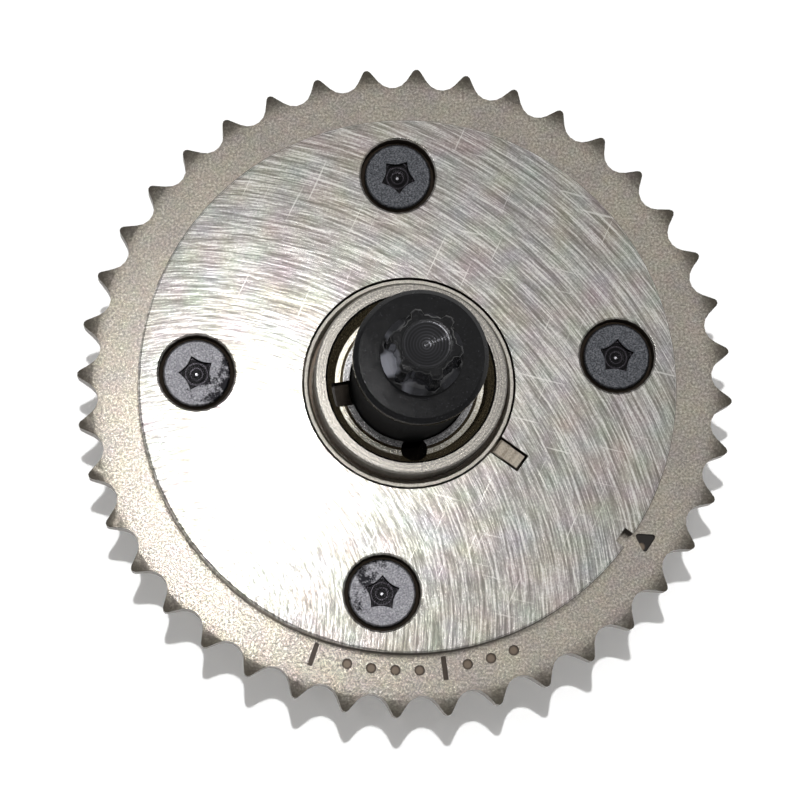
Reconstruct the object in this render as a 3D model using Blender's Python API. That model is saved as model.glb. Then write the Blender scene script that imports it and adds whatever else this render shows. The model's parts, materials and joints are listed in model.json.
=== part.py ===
"""Variable-timing camshaft sprocket: a vane phaser inside a 40-tooth roller-chain sprocket.

The part stands on its rear face at z = 0. +Z runs along its axis towards the central bolt,
+Y is away from the viewer and +X is to the right. Sizes are in millimetres and degrees,
and MM turns a millimetre into Blender's metre.
"""
import bpy
import bmesh
import math
from mathutils import Matrix

MM = 0.001
CLEARANCE = 0.3
EDGE_CHAMFER = 0.8
FINE_CHAMFER = 0.35

# Chain and teeth
TOOTH_COUNT = 40
CHAIN_PITCH = 9.525
ROLLER_RADIUS = 3.175
SEAT_CLEARANCE = 0.125
TOOTH_HEIGHT = 3.95
TIP_ROUNDING_RADIUS = 0.75
FIRST_TOOTH_ANGLE = 7.24
TIP_TAPER_LENGTH = 3.0
TIP_TAPER_SLOPE = 0.32
TOOTH_RING_THICKNESS = 5.6

# Stack of plates, from the rear face up
REAR_COVER_THICKNESS = 6.0
DRUM_HEIGHT = 33.7
FRONT_COVER_THICKNESS = 4.6

# Drum and lobes
DRUM_WALL = 9.0
LOBE_HALF_ANGLE = 14.0
REAR_COVER_INSET = 0.6

# Screws: three gaps of one size, and a wider one that holds the wide vane
SCREW_COUNT = 4
SCREW_FIRST_ANGLE = 8.1
SCREW_ANGLE_STEP = 84.9
SCREW_EDGE_DISTANCE = 5.7
SCREW_SHANK_RADIUS = 3.0
SCREW_HEAD_RADIUS = 6.25
SCREW_HEAD_HEIGHT = 2.4
SCREW_HEAD_SINK = 0.6
SCREW_TIP_TO_REAR = 1.2
SCREW_RECESS_LOBES = 5
SCREW_RECESS_TURNS = (14.0, 59.0, 35.0, 16.0)
SCREW_RECESS_RADIUS = 3.35
SCREW_RECESS_WAIST_RADIUS = 2.3
SCREW_RECESS_LOBE_RADIUS = 0.6
SCREW_RECESS_DEPTH = 1.3
SCREW_DIMPLE_DEPTH = 0.6
SCREW_DIMPLE_RADIUS = 2.1
SCREW_TIP_CHAMFER = 0.6
COUNTERBORE_ROOM = 0.75

# Front cover
FRONT_COVER_LIP = 5.05
COVER_NOTCH_ANGLE = -35.5
COVER_NOTCH_WIDTH = 3.0
COVER_NOTCH_DEPTH = 2.0

# Timing marks sunk in the face of the tooth ring
MARK_OFFSET = 2.8
MARK_DEPTH = 0.5
DOT_COUNT = 8
DOT_LEFT_OUT = 4
DOT_FIRST_ANGLE = -102.1
DOT_ANGLE_STEP = 4.86
DOT_RADIUS = 1.0
TICK_ANGLES = (-109.1, -82.5)
TICK_WIDTH = 0.95
TICK_LENGTH = 4.4
TRIANGLE_ANGLE = -32.7
TRIANGLE_REACH = 2.05
TRIANGLE_CORNER_RADIUS = 0.5
TRIANGLE_DEPTH = 0.8

# Rotor
ROTOR_TRAVEL = 12.0
STOP_CLEARANCE_ANGLE = 0.4
CORE_WALL = 2.6
VANE_HEIGHT = 9.0
VANE_HALF_ANGLE = 9.0
HUB_PROUD = 5.1
HUB_MOUTH_WALL = 2.4
HUB_MOUTH_FLARE = 1.6
HUB_MOUTH_LIP = 0.8
HUB_SHOULDER_WIDTH = 2.65
HUB_SHOULDER_DEPTH = 4.2
SHOULDER_GROOVE_INSET = 1.3
SHOULDER_GROOVE_WIDTH = 0.35
SHOULDER_GROOVE_DEPTH = 0.3
SEAT_STEP_HEIGHT = 14.0
JOURNAL_WALL = 7.0
SOCKET_WALL = 1.5
JOURNAL_RECESS = 0.4
NOSE_RECESS_DEPTH = 8.1
OIL_HOLE_RADIUS = 2.45
OIL_HOLE_ANGLE = -86.2
OIL_HOLE_DEPTH = 9.0
HUB_SLOT_ANGLE = -168.9
HUB_SLOT_WIDTH = 4.6
HUB_SLOT_INSET = 0.7
HUB_SLOT_DEPTH = 2.4
HUB_SLOT_RISE = 1.6

# Oil ways: two rows of drillings from the hub bore to the chambers beside each vane
OIL_WAY_RADIUS = 1.1
OIL_WAY_BESIDE_VANE = 4.5
OIL_WAY_LOW = 18.5
OIL_WAY_HIGH = 26.5

# Seals with their leaf springs, at the vane tips and in the lobes
SEAL_WIDTH = 2.0
SEAL_THICKNESS = 2.2
LEAF_THICKNESS = 0.35
LEAF_ARCH = 0.75
LEAF_WIDTH = 1.8
LEAF_END_ROOM = 2.0

# Lock pin in the wide vane
PIN_WALL = 1.1
PIN_OFFSET_ANGLE = 13.0
PIN_RADIUS = 3.7
PIN_SIDE_WALL = 1.4
PIN_LENGTH = 15.4
PIN_FLOOR = 5.4
PIN_CHAMFER = 0.6
PIN_CAP_THICKNESS = 4.0
PIN_CAP_VENT_RADIUS = 0.9
PIN_SPRING_WIRE = 0.35
PIN_SPRING_TURNS = 6
LOCK_BUSH_WALL = 1.4
LOCK_BUSH_HEIGHT = 3.3

# Front bush and return spring
HUB_RUNNING_GAP = 0.7
FRONT_BUSH_WALL = 1.0
FRONT_BUSH_SINK = 0.3
POCKET_INNER_GAP = 1.4
POCKET_SIDE_ROOM = 1.8
SPRING_WIRE_WIDTH = 2.8
SPRING_WIRE_HEIGHT = 1.9
SPRING_TURN_GAP = 0.5
SPRING_TURNS = 3
TANG_ANGLE = -35.3
TANG_WIDTH = 3.0
TANG_LENGTH = 5.4
TANG_SINK = 0.35
TANG_THICKNESS = 2.3

# Locating dowel between the drum and the rear cover
DOWEL_ANGLE = 50.5
DOWEL_RADIUS = 1.6
DOWEL_DEPTH = 8.0
DOWEL_CHAMFER = 0.3
DOWEL_TIP_TO_REAR = 2.0

# Central bolt, standing on its tip in the hub
BOLT_TIP_TO_REAR = 0.3
BOLT_SHANK_RADIUS = 6.0
BOLT_TIP_CHAMFER = 1.0
BOLT_BODY_RADIUS = 10.85
BOLT_BODY_ENTRY = 4.2
BOLT_FLANGE_RADIUS = 12.0
BOLT_FLANGE_THICKNESS = 3.2
BOLT_FLANGE_CHAMFER = 0.9
BOLT_FLANGE_PROUD = 24.0
STAR_LOBES = 6
STAR_HEIGHT = 12.0
STAR_LOBE_REACH = 6.5
STAR_LOBE_ROUNDING_RADIUS = 1.3
STAR_FLUTE_RADIUS = 4.95
STAR_CHAMFER = 0.5
STAR_ANGLE = 48.0
STAR_COLLAR_RADIUS = 7.35
STAR_COLLAR_HEIGHT = 1.6
STAR_RUNOUT_HEIGHT = 3.0
STAR_DISH_RADIUS = 4.3
STAR_DISH_DEPTH = 1.2

# Facets round each kind of circle and along each kind of arc
RIM_STEPS = 80
HUB_STEPS = 48
HEAD_STEPS = 24
SMALL_STEPS = 16
FINE_STEPS = 12
DRILL_STEPS = 8
LEAF_STEPS = 6
SEAT_STEPS = 5
TIP_STEPS = 3
CHAMBER_STEPS = 10
CORE_STEPS = 8
LAND_STEPS = 3
STAR_STEPS = 4
RUNOUT_STEPS = 3
DISH_STEPS = 4
RECESS_STEPS = 2
SPRING_TURN_STEPS = 24
PIN_SPRING_TURN_STEPS = 8
WIRE_SIDES = 5

# How far a cutting tool runs past what it cuts, and the angle from which an edge shades sharp
OVERCUT = 1.0
SHARP_ANGLE = 35.0

# Heights that follow from the stack
DRUM_BOTTOM = REAR_COVER_THICKNESS + CLEARANCE
RING_FACE = DRUM_BOTTOM + DRUM_HEIGHT
COVER_BOTTOM = RING_FACE + CLEARANCE
COVER_FACE = COVER_BOTTOM + FRONT_COVER_THICKNESS
ROTOR_BOTTOM = DRUM_BOTTOM
ROTOR_TOP = RING_FACE
HUB_TOP = COVER_FACE + HUB_PROUD
HUB_SHOULDER = HUB_TOP - HUB_SHOULDER_DEPTH
FLANGE_TOP = HUB_TOP + BOLT_FLANGE_PROUD

# Radii that follow from the chain, and from the pieces inside them, starting at the bolt
PITCH_RADIUS = CHAIN_PITCH / 2 / math.sin(math.pi / TOOTH_COUNT)
ROOT_RADIUS = PITCH_RADIUS - ROLLER_RADIUS
TIP_RADIUS = ROOT_RADIUS + TOOTH_HEIGHT
SHANK_BORE_RADIUS = BOLT_SHANK_RADIUS + CLEARANCE
HUB_BORE_RADIUS = BOLT_BODY_RADIUS + CLEARANCE
HUB_SHOULDER_RADIUS = HUB_BORE_RADIUS + HUB_SHOULDER_WIDTH
HUB_MOUTH_RADIUS = HUB_SHOULDER_RADIUS + HUB_MOUTH_FLARE
HUB_RADIUS = HUB_MOUTH_RADIUS + HUB_MOUTH_WALL
FRONT_BUSH_INNER = HUB_RADIUS + HUB_RUNNING_GAP
FRONT_COVER_BORE = FRONT_BUSH_INNER + FRONT_BUSH_WALL + CLEARANCE
POCKET_INNER = HUB_RADIUS + POCKET_INNER_GAP
SPRING_INNER = POCKET_INNER + CLEARANCE
SPRING_OUTER = SPRING_INNER + SPRING_WIRE_WIDTH
POCKET_OUTER = SPRING_OUTER + CLEARANCE + POCKET_SIDE_ROOM
SPRING_PITCH = SPRING_WIRE_HEIGHT + SPRING_TURN_GAP
SPRING_HEIGHT = SPRING_PITCH * SPRING_TURNS + SPRING_WIRE_HEIGHT
POCKET_FLOOR = ROTOR_TOP - SPRING_HEIGHT - 3 * CLEARANCE
CORE_RADIUS = POCKET_OUTER + CORE_WALL
CHAMBER_RADIUS = CORE_RADIUS + VANE_HEIGHT
VANE_TIP_RADIUS = CHAMBER_RADIUS - 2 * CLEARANCE
LOBE_RADIUS = CORE_RADIUS + CLEARANCE
OIL_HOLE_CIRCLE = HUB_MOUTH_RADIUS - CLEARANCE - OIL_HOLE_RADIUS
PIN_HOLE_RADIUS = PIN_RADIUS + CLEARANCE
PIN_CIRCLE = POCKET_OUTER + PIN_WALL + PIN_HOLE_RADIUS
SOCKET_RADIUS = PIN_HOLE_RADIUS + LOCK_BUSH_WALL + CLEARANCE
JOURNAL_RADIUS = PIN_CIRCLE - SOCKET_RADIUS - SOCKET_WALL - CLEARANCE
NOSE_RECESS_RADIUS = JOURNAL_RADIUS - JOURNAL_WALL
DRUM_RADIUS = CHAMBER_RADIUS + DRUM_WALL
SCREW_CIRCLE_RADIUS = DRUM_RADIUS - SCREW_EDGE_DISTANCE
FRONT_COVER_RADIUS = DRUM_RADIUS + FRONT_COVER_LIP
MARK_CIRCLE_RADIUS = FRONT_COVER_RADIUS + MARK_OFFSET
DOWEL_CIRCLE = (CHAMBER_RADIUS + DRUM_RADIUS) / 2

# Angles of the vanes and of what rides in them
SCREW_ANGLES = [SCREW_FIRST_ANGLE + step * SCREW_ANGLE_STEP for step in range(SCREW_COUNT)]
WIDE_GAP_ANGLE = 360.0 - (SCREW_COUNT - 1) * SCREW_ANGLE_STEP
WIDE_VANE_ANGLE = SCREW_FIRST_ANGLE - WIDE_GAP_ANGLE / 2
WIDE_VANE_HALF_ANGLE = WIDE_GAP_ANGLE / 2 - LOBE_HALF_ANGLE - ROTOR_TRAVEL - STOP_CLEARANCE_ANGLE
PIN_ANGLE = WIDE_VANE_ANGLE + PIN_OFFSET_ANGLE
VANES = [(WIDE_VANE_ANGLE, WIDE_VANE_HALF_ANGLE)]
VANES += [(angle + SCREW_ANGLE_STEP / 2, VANE_HALF_ANGLE) for angle in SCREW_ANGLES[:-1]]

# Seal grooves
SEAL_GROOVE_WIDTH = SEAL_WIDTH + 2 * CLEARANCE
LEAF_ROOM = LEAF_ARCH + LEAF_THICKNESS + 2 * CLEARANCE
VANE_SEAL_OUTER = CHAMBER_RADIUS - CLEARANCE
VANE_SEAL_INNER = VANE_SEAL_OUTER - SEAL_THICKNESS
VANE_GROOVE_FLOOR = VANE_SEAL_INNER - LEAF_ROOM
LOBE_SEAL_INNER = LOBE_RADIUS
LOBE_SEAL_OUTER = LOBE_SEAL_INNER + SEAL_THICKNESS
LOBE_GROOVE_FLOOR = LOBE_SEAL_OUTER + LEAF_ROOM


def polar(radius, degrees):
    """A point in the plane at a radius and an angle."""
    angle = math.radians(degrees)
    return (radius * math.cos(angle), radius * math.sin(angle))


def arc(radius, start, end, steps, centre=(0.0, 0.0)):
    """Points along an arc from one angle to another, both ends included."""
    points = []
    for step in range(steps + 1):
        x, y = polar(radius, start + (end - start) * step / steps)
        points.append((centre[0] + x, centre[1] + y))
    return points


def circle(radius, steps, centre=(0.0, 0.0)):
    """Points round a full circle."""
    return arc(radius, 0.0, 360.0, steps, centre)[:-1]


def turned(points, degrees, shift=(0.0, 0.0)):
    """The points shifted and then turned about the axis."""
    cosine = math.cos(math.radians(degrees))
    sine = math.sin(math.radians(degrees))
    result = []
    for x, y in points:
        x += shift[0]
        y += shift[1]
        result.append((x * cosine - y * sine, x * sine + y * cosine))
    return result


def radial_box(start, length, width, degrees):
    """A rectangle that runs outwards from a start radius in the direction of an angle."""
    half = width / 2
    return turned([(0, -half), (length, -half), (length, half), (0, half)], degrees, (start, 0))


def prism(outline, bottom, top):
    """A closed solid between two heights, from an outline."""
    mesh = bmesh.new()
    corners = [mesh.verts.new((x, y, bottom)) for x, y in outline]
    base = mesh.faces.new(corners)
    lifted = bmesh.ops.extrude_face_region(mesh, geom=[base])["geom"]
    moved = [item for item in lifted if isinstance(item, bmesh.types.BMVert)]
    bmesh.ops.translate(mesh, verts=moved, vec=(0, 0, top - bottom))
    bmesh.ops.recalc_face_normals(mesh, faces=mesh.faces)
    return mesh


def lathe(profile, steps, closed=False):
    """A body turned about the axis from points of radius and height."""
    mesh = bmesh.new()
    points = [mesh.verts.new((radius, 0, height)) for radius, height in profile]
    pairs = list(zip(points, points[1:]))
    if closed:
        pairs.append((points[-1], points[0]))
    edges = [mesh.edges.new(pair) for pair in pairs]
    bmesh.ops.spin(mesh, geom=points + edges, cent=(0, 0, 0), axis=(0, 0, 1),
                   angle=math.tau, steps=steps, use_merge=True)
    bmesh.ops.remove_doubles(mesh, verts=mesh.verts, dist=1e-4)
    bmesh.ops.recalc_face_normals(mesh, faces=mesh.faces)
    return mesh


def loft(rings):
    """A capped solid skinned over rings that have the same number of points."""
    mesh = bmesh.new()
    rows = [[mesh.verts.new(point) for point in ring] for ring in rings]
    for lower, upper in zip(rows, rows[1:]):
        for index in range(len(lower)):
            after = (index + 1) % len(lower)
            mesh.faces.new((lower[index], lower[after], upper[after], upper[index]))
    mesh.faces.new(rows[0])
    mesh.faces.new(rows[-1])
    bmesh.ops.remove_doubles(mesh, verts=mesh.verts, dist=1e-4)
    bmesh.ops.recalc_face_normals(mesh, faces=mesh.faces)
    return mesh


def moved_to(mesh, place_in_plane):
    """The mesh shifted in the plane."""
    bmesh.ops.translate(mesh, verts=mesh.verts, vec=(*place_in_plane, 0))
    return mesh


def joined(meshes):
    """Several bodies in one mesh, for a tool that cuts in several places."""
    whole = bmesh.new()
    for mesh in meshes:
        data = bpy.data.meshes.new("joined")
        mesh.to_mesh(data)
        mesh.free()
        whole.from_mesh(data)
        bpy.data.meshes.remove(data)
    return whole


def make_material(name, colour, metallic, roughness):
    """A Principled material with one colour."""
    material = bpy.data.materials.new(name)
    material.use_nodes = True
    shader = material.node_tree.nodes["Principled BSDF"]
    shader.inputs["Base Color"].default_value = (*colour, 1.0)
    shader.inputs["Metallic"].default_value = metallic
    shader.inputs["Roughness"].default_value = roughness
    material.diffuse_color = (*colour, 1.0)
    return material


def place(name, data, parent=None, in_plane=(0, 0), turn=0.0):
    """An object that shows a mesh, set at its place on the part."""
    piece = bpy.data.objects.new(name, data)
    piece.location = (in_plane[0] * MM, in_plane[1] * MM, 0)
    piece.rotation_euler = (0, 0, math.radians(turn))
    piece.parent = parent
    bpy.context.scene.collection.objects.link(piece)
    return piece


def finished(name, mesh, material):
    """Mesh data in metres, shaded smooth except at its corners."""
    mesh.transform(Matrix.Scale(MM, 4))
    data = bpy.data.meshes.new(name)
    mesh.to_mesh(data)
    mesh.free()
    data.shade_smooth()
    data.set_sharp_from_angle(angle=math.radians(SHARP_ANGLE))
    data.materials.append(material)
    return data


def carve(piece, name, mesh, operation="DIFFERENCE"):
    """A Boolean on a piece, with its tool left in the scene as a wire guide."""
    data = finished(name, mesh, piece.data.materials[0])
    tool = place(name, data, parent=piece.parent)
    tool.location = piece.location
    tool.hide_render = True
    tool.display_type = "WIRE"
    modifier = piece.modifiers.new(name, "BOOLEAN")
    modifier.object = tool
    modifier.operation = operation
    modifier.solver = "EXACT"


def tooth_outline():
    """The whole toothed outline: a roller seat, a flank and a rounded tip for each tooth."""
    half_pitch = 180.0 / TOOTH_COUNT
    seat_radius = ROLLER_RADIUS + SEAT_CLEARANCE
    seat_centre = ROOT_RADIUS + seat_radius
    tip_centre = TIP_RADIUS - TIP_ROUNDING_RADIUS
    across = tip_centre * math.sin(math.radians(half_pitch))
    drop = seat_centre - tip_centre * math.cos(math.radians(half_pitch))
    distance = math.hypot(across, drop)
    centre_line = math.degrees(math.atan2(drop, across))
    flank = math.degrees(math.acos((seat_radius + TIP_ROUNDING_RADIUS) / distance))
    seat_reach = 90.0 - centre_line - flank
    tip_reach = seat_reach + half_pitch
    points = []
    for tooth in range(TOOTH_COUNT):
        gap_angle = FIRST_TOOTH_ANGLE + (2 * tooth + 1) * half_pitch
        seat = arc(seat_radius, 180.0 + seat_reach, 180.0 - seat_reach, SEAT_STEPS)
        points += turned(seat, gap_angle, (seat_centre, 0))
        tip = arc(TIP_ROUNDING_RADIUS, -tip_reach, tip_reach, TIP_STEPS)
        points += turned(tip, gap_angle + half_pitch, (tip_centre, 0))
    return points


def tooth_ring():
    """The plate that carries the teeth, with both sides tapered towards the tips."""
    bottom = RING_FACE - TOOTH_RING_THICKNESS
    taper_radius = TIP_RADIUS - TIP_TAPER_LENGTH
    rings = [[], [], [], []]
    for x, y in tooth_outline():
        radius = math.hypot(x, y)
        share = min(1.0, taper_radius / radius)
        fall = max(0.0, radius - taper_radius) * TIP_TAPER_SLOPE
        rings[0].append((x * share, y * share, bottom))
        rings[1].append((x, y, bottom + fall))
        rings[2].append((x, y, RING_FACE - fall))
        rings[3].append((x * share, y * share, RING_FACE))
    return loft(rings)


def grooved_arc(radius, angle, half, floor):
    """An arc with a seal groove at its middle, the groove's walls parallel."""
    half_width = SEAL_GROOVE_WIDTH / 2
    half_groove = math.degrees(math.asin(half_width / radius))
    points = arc(radius, angle - half, angle - half_groove, LAND_STEPS)
    points += turned([(floor, -half_width), (floor, half_width)], angle)
    points += arc(radius, angle + half_groove, angle + half, LAND_STEPS)
    return points


def chamber_outline():
    """The space inside the drum: four chambers between four lobes with seal grooves."""
    points = []
    for index, angle in enumerate(SCREW_ANGLES):
        gap = WIDE_GAP_ANGLE if index == SCREW_COUNT - 1 else SCREW_ANGLE_STEP
        points += grooved_arc(LOBE_RADIUS, angle, LOBE_HALF_ANGLE, LOBE_GROOVE_FLOOR)
        end = angle + gap - LOBE_HALF_ANGLE
        points += arc(CHAMBER_RADIUS, angle + LOBE_HALF_ANGLE, end, CHAMBER_STEPS)
    return points


def rotor_outline():
    """The rotor's core with one wide and three narrow vanes, grooved at their tips."""
    points = []
    for index, (angle, half) in enumerate(VANES):
        following, next_half = VANES[(index + 1) % len(VANES)]
        if following < angle:
            following += 360.0
        points += grooved_arc(VANE_TIP_RADIUS, angle, half, VANE_GROOVE_FLOOR)
        points += arc(CORE_RADIUS, angle + half, following - next_half, CORE_STEPS)
    return points


def timing_marks():
    """The dots, the plain ticks and the triangle, as tools that sink them in the face."""
    top = RING_FACE + OVERCUT
    floor = RING_FACE - MARK_DEPTH
    tools = []
    for dot in range(DOT_COUNT):
        if dot != DOT_LEFT_OUT:
            centre = polar(MARK_CIRCLE_RADIUS, DOT_FIRST_ANGLE + dot * DOT_ANGLE_STEP)
            tools.append(prism(circle(DOT_RADIUS, FINE_STEPS, centre), floor, top))
    for angle in TICK_ANGLES:
        start = MARK_CIRCLE_RADIUS - TICK_LENGTH / 2
        tools.append(prism(radial_box(start, TICK_LENGTH, TICK_WIDTH, angle), floor, top))
    corner = arc(TRIANGLE_CORNER_RADIUS, -60.0, 60.0, TIP_STEPS)
    triangle = []
    for side in (180.0, 300.0, 420.0):
        triangle += turned(corner, side, (TRIANGLE_REACH - TRIANGLE_CORNER_RADIUS, 0))
    triangle = turned([(x + MARK_CIRCLE_RADIUS, y) for x, y in triangle], TRIANGLE_ANGLE)
    tools.append(prism(triangle, RING_FACE - TRIANGLE_DEPTH, top))
    return joined(tools)


def plate_holes(bottom, top, dowel_bottom, dowel_top):
    """Screw holes right through a plate, and the dowel's hole part of the way."""
    holes = []
    for angle in SCREW_ANGLES:
        outline = circle(SCREW_SHANK_RADIUS + CLEARANCE, SMALL_STEPS, polar(SCREW_CIRCLE_RADIUS, angle))
        holes.append(prism(outline, bottom, top))
    dowel = circle(DOWEL_RADIUS + CLEARANCE, FINE_STEPS, polar(DOWEL_CIRCLE, DOWEL_ANGLE))
    holes.append(prism(dowel, dowel_bottom, dowel_top))
    return holes


def make_housing(material):
    """The sintered sprocket housing: tooth ring, drum and lobes in one piece."""
    housing = place("sprocket_housing", finished("sprocket_housing", tooth_ring(), material))
    inside_ring = RING_FACE - TOOTH_RING_THICKNESS / 2
    drum = lathe([(0, DRUM_BOTTOM), (DRUM_RADIUS - EDGE_CHAMFER, DRUM_BOTTOM),
                  (DRUM_RADIUS, DRUM_BOTTOM + EDGE_CHAMFER), (DRUM_RADIUS, inside_ring),
                  (0, inside_ring)], RIM_STEPS)
    carve(housing, "drum_body", drum, "UNION")
    chambers = prism(chamber_outline(), DRUM_BOTTOM - OVERCUT, RING_FACE + OVERCUT)
    carve(housing, "chamber_tool", chambers)
    holes = plate_holes(DRUM_BOTTOM - OVERCUT, RING_FACE + OVERCUT,
                        DRUM_BOTTOM - OVERCUT, DRUM_BOTTOM + DOWEL_DEPTH + CLEARANCE)
    carve(housing, "housing_hole_tool", joined(holes))
    carve(housing, "timing_mark_tool", timing_marks())


def make_rear_cover(material):
    """The rear plate with its journal bore, screw holes, dowel hole and lock socket."""
    radius = DRUM_RADIUS - REAR_COVER_INSET
    bore = JOURNAL_RADIUS + CLEARANCE
    thickness = REAR_COVER_THICKNESS
    plate = lathe([(bore, 0), (radius - EDGE_CHAMFER, 0), (radius, EDGE_CHAMFER), (radius, thickness),
                   (bore, thickness)], RIM_STEPS, closed=True)
    cover = place("rear_cover", finished("rear_cover", plate, material))
    holes = plate_holes(-OVERCUT, thickness + OVERCUT, DOWEL_TIP_TO_REAR - CLEARANCE, thickness + OVERCUT)
    socket = circle(SOCKET_RADIUS, SMALL_STEPS, polar(PIN_CIRCLE, PIN_ANGLE - ROTOR_TRAVEL))
    holes.append(prism(socket, thickness - LOCK_BUSH_HEIGHT - 2 * CLEARANCE, thickness + OVERCUT))
    carve(cover, "rear_cover_hole_tool", joined(holes))


def make_lock_bush(material):
    """The hardened socket that the lock pin drops into at the end of the rotor's travel."""
    inner = PIN_HOLE_RADIUS
    outer = inner + LOCK_BUSH_WALL
    top = REAR_COVER_THICKNESS - CLEARANCE
    bottom = top - LOCK_BUSH_HEIGHT
    bush = lathe([(inner, bottom), (outer, bottom), (outer, top), (inner + FINE_CHAMFER, top),
                  (inner, top - FINE_CHAMFER)], SMALL_STEPS, closed=True)
    place("lock_bush", finished("lock_bush", bush, material),
          in_plane=polar(PIN_CIRCLE, PIN_ANGLE - ROTOR_TRAVEL))


def make_front_cover(material):
    """The ground front plate: counterbores, hub bore, tang slot and edge notch."""
    radius = FRONT_COVER_RADIUS
    bore = FRONT_COVER_BORE
    bottom = COVER_BOTTOM - OVERCUT
    top = COVER_FACE + OVERCUT
    plate = lathe([(bore, COVER_BOTTOM), (radius, COVER_BOTTOM), (radius, COVER_FACE - FINE_CHAMFER),
                   (radius - FINE_CHAMFER, COVER_FACE), (bore, COVER_FACE)], RIM_STEPS, closed=True)
    cover = place("front_cover", finished("front_cover", plate, material))
    slot_length = CLEARANCE + TANG_LENGTH + CLEARANCE + OVERCUT
    slot = radial_box(bore - OVERCUT, slot_length, TANG_WIDTH + 2 * CLEARANCE, TANG_ANGLE)
    notch = radial_box(radius - COVER_NOTCH_DEPTH, COVER_NOTCH_DEPTH + OVERCUT, COVER_NOTCH_WIDTH,
                       COVER_NOTCH_ANGLE)
    carve(cover, "cover_slot_tool", joined([prism(slot, bottom, top), prism(notch, bottom, top)]))
    floor = COVER_FACE - SCREW_HEAD_SINK - SCREW_HEAD_HEIGHT - CLEARANCE
    hole = SCREW_SHANK_RADIUS + CLEARANCE
    wall = SCREW_HEAD_RADIUS + COUNTERBORE_ROOM
    flare = wall + FINE_CHAMFER + OVERCUT
    bores = []
    for angle in SCREW_ANGLES:
        tool = lathe([(0, bottom), (hole, bottom), (hole, floor), (wall, floor),
                      (wall, COVER_FACE - FINE_CHAMFER), (flare, top), (0, top)], HEAD_STEPS)
        bores.append(moved_to(tool, polar(SCREW_CIRCLE_RADIUS, angle)))
    carve(cover, "counterbore_tool", joined(bores))


def lobed(count, reach, waist, lobe_radius, steps):
    """A star outline: round lobes joined by round flutes."""
    half = 180.0 / count
    lobe_centre = reach - lobe_radius
    beside = lobe_centre * math.sin(math.radians(half))
    across = lobe_centre * math.cos(math.radians(half))
    sag = across - waist
    flute_radius = (beside ** 2 + sag ** 2 - lobe_radius ** 2) / (2 * (lobe_radius - sag))
    flute_centre = waist + flute_radius
    flute_reach = math.degrees(math.atan2(beside, flute_centre - across))
    lobe_reach = 180.0 - flute_reach - half
    points = []
    for lobe in range(count):
        angle = 2 * half * lobe
        points += turned(arc(lobe_radius, -lobe_reach, lobe_reach, steps), angle, (lobe_centre, 0))
        flute = arc(flute_radius, 180.0 + flute_reach, 180.0 - flute_reach, steps + 1)
        points += turned(flute, angle + half, (flute_centre, 0))[1:-1]
    return points


def make_screws(material):
    """Four low-head screws with a five-lobe socket and a dimple at its floor."""
    top = COVER_FACE - SCREW_HEAD_SINK
    under = top - SCREW_HEAD_HEIGHT
    tip = SCREW_TIP_TO_REAR
    shank = SCREW_SHANK_RADIUS
    head = SCREW_HEAD_RADIUS
    floor = top - SCREW_RECESS_DEPTH
    body = lathe([(0, tip), (shank - SCREW_TIP_CHAMFER, tip), (shank, tip + SCREW_TIP_CHAMFER),
                  (shank, under), (head, under), (head, top - FINE_CHAMFER),
                  (head - FINE_CHAMFER, top), (0, top)], HEAD_STEPS)
    pattern = place("cover_screw_1", finished("cover_screw", body, material))
    recess = lobed(SCREW_RECESS_LOBES, SCREW_RECESS_RADIUS, SCREW_RECESS_WAIST_RADIUS,
                   SCREW_RECESS_LOBE_RADIUS, RECESS_STEPS)
    carve(pattern, "screw_recess_tool", prism(recess, floor, top + OVERCUT))
    dimple_top = floor + FINE_CHAMFER
    dimple = lathe([(0, floor - SCREW_DIMPLE_DEPTH), (SCREW_DIMPLE_RADIUS, dimple_top),
                    (0, dimple_top)], FINE_STEPS)
    carve(pattern, "screw_dimple_tool", dimple)
    graph = bpy.context.evaluated_depsgraph_get()
    shared = bpy.data.meshes.new_from_object(pattern.evaluated_get(graph))
    for modifier in list(pattern.modifiers):
        bpy.data.objects.remove(modifier.object, do_unlink=True)
    bpy.data.objects.remove(pattern, do_unlink=True)
    for index, (angle, turn) in enumerate(zip(SCREW_ANGLES, SCREW_RECESS_TURNS)):
        place(f"cover_screw_{index + 1}", shared, in_plane=polar(SCREW_CIRCLE_RADIUS, angle), turn=turn)


def make_dowel(material):
    """The pin that locates the rear cover on the drum."""
    bottom = DOWEL_TIP_TO_REAR
    top = DRUM_BOTTOM + DOWEL_DEPTH
    radius = DOWEL_RADIUS
    chamfer = DOWEL_CHAMFER
    pin = lathe([(0, bottom), (radius - chamfer, bottom), (radius, bottom + chamfer),
                 (radius, top - chamfer), (radius - chamfer, top), (0, top)], FINE_STEPS)
    place("cover_dowel", finished("cover_dowel", pin, material), in_plane=polar(DOWEL_CIRCLE, DOWEL_ANGLE))


def make_front_bush(material):
    """The thin bush in the cover's bore that the hub runs in."""
    inner = FRONT_BUSH_INNER
    outer = inner + FRONT_BUSH_WALL
    top = COVER_FACE - FRONT_BUSH_SINK
    bush = lathe([(inner, COVER_BOTTOM), (outer, COVER_BOTTOM), (outer, top),
                  (inner + FINE_CHAMFER, top), (inner, top - FINE_CHAMFER)], HUB_STEPS, closed=True)
    place("front_bush", finished("front_bush", bush, material))


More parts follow.
